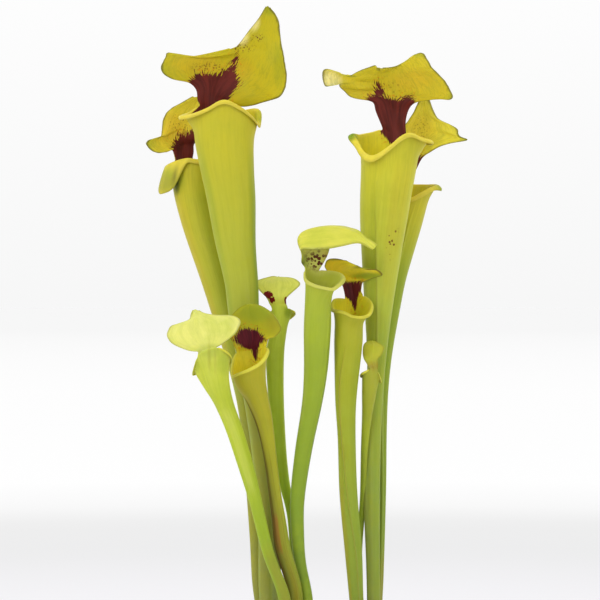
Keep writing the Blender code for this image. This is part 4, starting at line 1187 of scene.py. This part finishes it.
# The smallest pitcher stands at the right behind it, seen from its back. It is one thin young leaf, plain
# green, with no patch in its throat.
small_right = dict(
    YOUNG,
    route=[
        (118, 26, 5, 2.6), (131, 26, 5, 2.6), (195, 27, 6, 2.6), (235, 27.5, 6, 2.5), (275, 30.4, 4, 2.5),
        (315, 31.5, -2, 2.9), (345, 33.6, -6, 4.2), (360, 34.8, -8.8, 5.6), (374.6, 35.7, -10.6, 6.4),
    ],
    front=210, back=30, column=34,
    wing=[(118, 210, 0.3), (370, 210, 0.5)],
    rim=[
        (30, 5, 1.5, 1), (64, 4, 1.5, 1), (95, -3, 4, 2), (150, -2, 1.5, 1), (180, -1, 1.5, 1),
        (240, 0, 1.5, 1), (270, 1, 1.5, 1), (320, 3, 1.5, 1), (356, 5, 1.5, 1),
    ],
    ribs=[
        [(-2, -7, 9), (2, -7, 9), (6, -4, 9)],
        [(-4.6, -5, 13), (1, -7, 13), (6, -4, 13)],
        [(-5.8, -2.5, 18), (1.6, -5, 18), (9.5, -3, 17.5)],
        [(-5.2, -1, 24), (2.4, -2, 24), (11, -1, 23)],
        [(-2, 2, 27.5), (1.6, 2, 28), (5, 2, 27.5)],
    ],
    skin=[
        (0.0, 140, 112, 60), (0.08, 116, 134, 54), (0.5, 134, 151, 53), (0.8, 152, 160, 52),
        (0.97, 162, 163, 56), (1.15, 166, 152, 50), (1.4, 174, 174, 54), (2.0, 178, 176, 58),
    ],
    lid_tints=[("brown", 2, 8, 5, 5, 0.4), ("dark", -7, 0, 2.5, 2, 0.6)],
)
make_pitcher("pitcher_small_right", small_right)


# The rhizome: the thick woody stem that creeps along under the pitchers, ringed with the scars of old leaves.
# It grew as one piece, and each pitcher's foot stands in a swelling on its top.
RHIZOME_LEVEL = 115.0
RHIZOME_ROWS = 170
RHIZOME_ROUND = 72
GROWN = (
    tall_left_front, tall_left_back, tall_right_front, tall_right_back, small_left_front, small_left_mid,
    small_left_back, mid_centre, mid_right, small_right,
)
FEET = [leaf["route"][0][1:3] for leaf in GROWN]
RHIZOME_PLACES = [-53.0, -50.0, -43.0, -34.0, -24.0, -14.0, -4.0, 6.0, 15.0, 24.0, 34.0, 43.0, 50.0, 53.0]
RHIZOME_HALF_WIDTHS = [0.6, 10.0, 18.5, 23.0, 23.0, 19.0, 12.0, 9.5, 12.0, 18.0, 21.0, 18.5, 10.0, 0.6]
RHIZOME_HALF_HEIGHTS = [0.5, 6.0, 9.5, 11.0, 11.2, 10.4, 8.6, 7.8, 8.6, 10.2, 11.0, 9.6, 6.4, 0.5]
SCAR_PITCH = 1.35
SCAR_HEIGHT = 0.55
SMOOTH_WIDTH = 9.0
SWELLING_SPREAD = 42.0
SWELLING_HEIGHT = 2.2


def ring_faces(rings, sides):
    """The faces between rings of points that follow each other in one list."""
    faces = []
    for ring in range(rings - 1):
        start = ring * sides
        for i in range(sides):
            j = (i + 1) % sides
            faces.append((start + i, start + j, start + sides + j, start + sides + i))
    return faces


def set_down(name, points, faces, finish, marks=None):
    """Makes a piece from its points and faces, and puts it in place of its plain stand-in."""
    mesh = bpy.data.meshes.new(name + "_body")
    mesh.from_pydata([Vector(point) * MM for point in points], [], faces)
    mesh.shade_smooth()
    for key, values in (marks or {}).items():
        mesh.attributes.new(key, "FLOAT", "POINT").data.foreach_set("value", values)
    mesh.materials.append(finish)
    item = bpy.data.objects.new(name + "_body", mesh)
    bpy.context.collection.objects.link(item)
    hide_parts(name)
    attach(item, "root")
    return item


rhizome_points = []
rhizome_marks = {"scar": [], "fresh": []}
for row in range(RHIZOME_ROWS + 1):
    x = RHIZOME_PLACES[0] + (RHIZOME_PLACES[-1] - RHIZOME_PLACES[0]) * row / RHIZOME_ROWS
    half_width = follow(RHIZOME_PLACES, RHIZOME_HALF_WIDTHS, x)
    half_height = follow(RHIZOME_PLACES, RHIZOME_HALF_HEIGHTS, x)
    for i in range(RHIZOME_ROUND):
        turn = math.tau * i / RHIZOME_ROUND
        y = half_width * math.cos(turn)
        z = half_height * math.sin(turn)
        bend = 2.6 * noise.noise(Vector((x * 0.05, y * 0.07, z * 0.07)))
        ring_wave = math.sin(x * SCAR_PITCH + bend + 0.8 * noise.noise(Vector((x * 0.2, 3.0, 1.0))))
        scar = max(ring_wave, 0.0) ** 3
        inside = Vector((x, y, z))
        lump = 1.1 * noise.noise(inside * 0.11) + 0.45 * noise.noise(inside * 0.38)
        push = (lump + SCAR_HEIGHT * scar) * min(half_width / SMOOTH_WIDTH, 1.0)
        swelling = 0.0
        for foot_x, foot_y in FEET:
            away = (x - foot_x) ** 2 + (y - foot_y) ** 2
            swelling = max(swelling, math.exp(-away / SWELLING_SPREAD))
        on_top = ease(math.sin(turn) * 2.0)
        lift = SWELLING_HEIGHT * swelling * on_top
        place = (x, y + push * math.cos(turn), RHIZOME_LEVEL + z + push * math.sin(turn) + lift)
        rhizome_points.append(place)
        rhizome_marks["scar"].append(scar)
        rhizome_marks["fresh"].append(swelling * on_top)
rhizome_faces = ring_faces(RHIZOME_ROWS + 1, RHIZOME_ROUND)
rhizome_faces.append(tuple(range(RHIZOME_ROUND - 1, -1, -1)))
rhizome_faces.append(tuple(RHIZOME_ROWS * RHIZOME_ROUND + i for i in range(RHIZOME_ROUND)))

bark = Paint("rhizome_bark", 0.78)
bark_grain = bark.noise(bark.here(), 90.0, 5.0, 0.65)
bark_fine = bark.noise(bark.here(), 620.0, 4.0, 0.6)
bark_colour = bark.ramp(
    bark_grain,
    [(0.3, srgb(70, 46, 30)), (0.48, srgb(104, 72, 44)), (0.6, srgb(132, 98, 60)), (0.75, srgb(84, 58, 36))],
)
bark_colour = bark.mix(bark.times(bark.mark("scar"), 0.7), bark_colour, srgb(54, 36, 25))
new_growth = bark.times(bark.mark("fresh"), bark.between(bark_fine, 0.3, 0.6, 0.5, 1.0))
bark_colour = bark.mix(new_growth, bark_colour, srgb(142, 118, 62))
bark_colour = bark.mix(bark.between(bark_fine, 0.35, 0.7, 0.0, 0.3), bark_colour, srgb(50, 34, 24))
bark.colour(bark_colour)
bark.bump(bark.scaled(bark_grain, 0.8, bark_fine), 0.8, 0.0006)
set_down("rhizome", rhizome_points, rhizome_faces, bark.material, rhizome_marks)


# The growing mix: damp peat with sharp grit in it, heaped a little in the middle and drawn up around the
# rhizome. Its crumbs and its grit are real grains that lie half sunk in the surface.
MIX_TOP = 118.0
MIX_EDGE = 78.1
MIX_RINGS = 56
MIX_SIDES = 132
MIX_CENTRE = 0.05
MIX_UNDERSIDE = ((MIX_EDGE - 0.6, 114.0), (59.6, 3.2), (MIX_CENTRE, 3.2))
MIX_LUMPS = ((1.0, 0.05), (0.7, 0.2), (0.5, 0.55))
MIX_HEAP = 1.0
EDGE_DROP = 0.9
EDGE_FADE = (0.93, 0.07)
BANK_REACH = 52.0
BANK_HEIGHT = 1.6
BANK_WIDTH = 5.0
CRUMBS = 1500
GRIT = 420
WALL_GAP = 2.5
SQUASH = ((0.75, 1.3), (0.7, 1.1), (0.5, 0.9))
SHOWING = 0.15
CHIP_DEPTH = 0.4
random.seed(7)


def level_ring(radius, z, sides):
    """The points of a level ring, from the front round by the right."""
    turns = [math.tau * i / sides for i in range(sides)]
    return [(radius * math.sin(turn), -radius * math.cos(turn), z) for turn in turns]


def mix_height(x, y):
    """The height of the mix at a place. It drops at the pot's wall, and is banked up beside the rhizome."""
    from_centre = math.hypot(x, y) / MIX_EDGE
    place = Vector((x, y, 0.0))
    height = MIX_TOP + MIX_HEAP - from_centre**2 - EDGE_DROP * fade(from_centre, *EDGE_FADE)
    rough = 0.0
    for size, scale in MIX_LUMPS:
        rough += size * noise.noise(place * scale)
    height += rough
    if abs(x) < BANK_REACH:
        beside = abs(y) - follow(RHIZOME_PLACES, RHIZOME_HALF_WIDTHS, x)
        height += BANK_HEIGHT * math.exp(-((beside / BANK_WIDTH) ** 2))
    return height


mix_points = []
for ring in range(MIX_RINGS + 1):
    radius = max(MIX_EDGE * ring / MIX_RINGS, MIX_CENTRE)
    mix_points += [(x, y, mix_height(x, y)) for x, y, _ in level_ring(radius, 0.0, MIX_SIDES)]
for radius, z in MIX_UNDERSIDE:
    mix_points += level_ring(radius, z, MIX_SIDES)
mix_rings = MIX_RINGS + 1 + len(MIX_UNDERSIDE)
mix_faces = [face[::-1] for face in ring_faces(mix_rings, MIX_SIDES)]
mix_marks = {"grit": [0.0] * len(mix_points), "tone": [0.4] * len(mix_points)}


def grain_form(detail):
    """The points and the faces of a round grain, before it is squashed and chipped."""
    form = bmesh.new()
    bmesh.ops.create_icosphere(form, subdivisions=detail, radius=1.0)
    corners = [corner.co.copy() for corner in form.verts]
    sides = [tuple(corner.index for corner in face.verts) for face in form.faces]
    form.free()
    return corners, sides


def scatter(count, smallest, largest, detail, grit):
    """Drops grains over the mix, each with its own size, squash, turn and chips."""
    corners, sides = grain_form(detail)
    for number in range(count):
        from_centre = (MIX_EDGE - WALL_GAP) * math.sqrt(random.random())
        turn = math.tau * random.random()
        x, y = from_centre * math.sin(turn), from_centre * math.cos(turn)
        size = smallest + (largest - smallest) * random.random() ** 2.2
        squash = Vector([random.uniform(least, most) for least, most in SQUASH]) * size
        tilt = Euler([random.uniform(0.0, math.tau) for _ in range(3)])
        middle = Vector((x, y, mix_height(x, y) + SHOWING * size))
        first = len(mix_points)
        tone = random.random()
        for corner in corners:
            chip = 1.0 + CHIP_DEPTH * noise.noise(corner * 1.7 + Vector((number * 3.1, tone * 9.0, 0.0)))
            place = Vector((corner.x * squash.x, corner.y * squash.y, corner.z * squash.z)) * chip
            place.rotate(tilt)
            mix_points.append(tuple(middle + place))
            mix_marks["grit"].append(grit)
            mix_marks["tone"].append(tone)
        mix_faces.extend(tuple(first + k for k in side) for side in sides)


scatter(CRUMBS, smallest=0.7, largest=2.6, detail=1, grit=0.0)
scatter(GRIT, smallest=0.8, largest=2.3, detail=2, grit=1.0)

peat = Paint("growing_mix", 0.92)
peat.shader.inputs["Specular IOR Level"].default_value = 0.2
peat_grain = peat.noise(peat.here(), 300.0, 5.0, 0.7)
peat_tone = peat.scaled(peat.mark("tone"), 0.35, peat.times(peat_grain, 0.65))
peat_colour = peat.ramp(
    peat_tone,
    [(0.2, srgb(34, 24, 18)), (0.42, srgb(58, 41, 29)), (0.58, srgb(82, 58, 40)), (0.75, srgb(104, 78, 54))],
)
grit_colour = peat.ramp(
    peat_tone,
    [
        (0.15, srgb(120, 112, 100)), (0.4, srgb(168, 160, 144)), (0.6, srgb(196, 188, 172)),
        (0.8, srgb(150, 128, 100)),
    ],
)
grit_dirt = peat.between(peat.noise(peat.here(), 700.0, 3.0), 0.45, 0.7, 0.0, 0.7)
grit_colour = peat.mix(grit_dirt, grit_colour, srgb(84, 64, 48))
peat.colour(peat.mix(peat.mark("grit"), peat_colour, grit_colour))
peat.bump(peat_grain, 0.7, 0.0008)
set_down("potting_mix", mix_points, mix_faces, peat.material, mix_marks)


# The pot: a plain round nursery pot, moulded in matt black plastic, with a turned-down rim band and six drain
# holes in its base.
POT_SIDES = 144
POT_OUTLINE = [
    (60.5, 0.0), (61.4, 0.3), (61.9, 0.9), (62.2, 1.8), (64.0, 13.0), (68.0, 37.8), (72.0, 62.7),
    (76.0, 87.5), (79.6, 109.8), (80.4, 114.0), (81.6, 122.0), (82.2, 125.6), (82.8, 126.4), (83.3, 125.6),
    (83.3, 114.0), (83.3, 112.6), (83.6, 112.1), (84.2, 112.0), (84.7, 112.2), (84.9, 112.8), (85.3, 119.0),
    (85.8, 127.0), (86.0, 130.2), (85.9, 131.2), (85.4, 131.8), (84.6, 132.0), (82.4, 132.0), (81.4, 131.8),
    (80.9, 131.2), (80.7, 130.0), (79.2, 121.0), (77.6, 111.0), (73.6, 86.0), (69.6, 61.0), (65.6, 36.0),
    (61.6, 11.0), (60.3, 3.6), (59.6, 2.4), (59.4, 1.2), (59.6, 0.3),
]
BASE_RADIUS = 60.2
BASE_LEVEL = 1.2
BASE_HALF_THICKNESS = 1.1
DRAIN_HOLES = 6
DRAIN_RING = 44.0
DRAIN_RADIUS = 5.0
DRAIN_SIDES = 32
pot_points = []
for radius, z in POT_OUTLINE:
    pot_points += level_ring(radius, z, POT_SIDES)
pot_faces = ring_faces(len(POT_OUTLINE), POT_SIDES)
last_ring = (len(POT_OUTLINE) - 1) * POT_SIDES
for i in range(POT_SIDES):
    j = (i + 1) % POT_SIDES
    pot_faces.append((last_ring + i, last_ring + j, j, i))

base_curve = bpy.data.curves.new("pot_base", "CURVE")
base_curve.dimensions = "2D"
base_curve.fill_mode = "BOTH"
base_curve.extrude = BASE_HALF_THICKNESS
circles = [(0.0, 0.0, BASE_RADIUS, POT_SIDES)]
for hole in range(DRAIN_HOLES):
    turn = math.radians(360.0 / DRAIN_HOLES * (hole + 0.5))
    circles.append((DRAIN_RING * math.cos(turn), DRAIN_RING * math.sin(turn), DRAIN_RADIUS, DRAIN_SIDES))
for centre_x, centre_y, radius, corners in circles:
    line = base_curve.splines.new("POLY")
    line.points.add(corners - 1)
    line.use_cyclic_u = True
    for i, corner in enumerate(line.points):
        turn = math.tau * i / corners
        corner.co = (centre_x + radius * math.cos(turn), centre_y + radius * math.sin(turn), 0.0, 1.0)
base_item = bpy.data.objects.new("pot_base", base_curve)
base_mesh = bpy.data.meshes.new_from_object(base_item)
first = len(pot_points)
pot_points += [(corner.co.x, corner.co.y, corner.co.z + BASE_LEVEL) for corner in base_mesh.vertices]
pot_faces += [tuple(first + k for k in face.vertices) for face in base_mesh.polygons]
bpy.data.objects.remove(base_item)
bpy.data.meshes.remove(base_mesh)

plastic = Paint("pot_plastic", 0.5)
plastic_cloud = plastic.noise(plastic.here(), 26.0, 4.0, 0.6)
plastic_fine = plastic.noise(plastic.here(), 1400.0, 2.0)
plastic_colour = plastic.mix(plastic.between(plastic_cloud, 0.35, 0.7), srgb(30, 31, 31), srgb(42, 43, 43))
height_up = plastic.node("ShaderNodeSeparateXYZ", plastic.here()).outputs["Z"]
splash = plastic.times(plastic.between(height_up, 0.03, 0.0), plastic.between(plastic_cloud, 0.4, 0.65))
rim_dust = plastic.times(plastic.between(height_up, 0.122, 0.132), plastic.between(plastic_cloud, 0.45, 0.7))
dust = plastic.times(plastic.larger(splash, rim_dust), 0.4)
plastic.colour(plastic.mix(dust, plastic_colour, srgb(104, 88, 70)))
worn = plastic.between(plastic_cloud, 0.3, 0.7, 0.42, 0.58)
plastic.feed(plastic.shader.inputs["Roughness"], worn)
plastic.bump(plastic_fine, 0.25, 0.0001)
pot_item = set_down("pot", pot_points, pot_faces, plastic.material)
pot_item.data.set_sharp_from_angle(angle=math.radians(40.0))
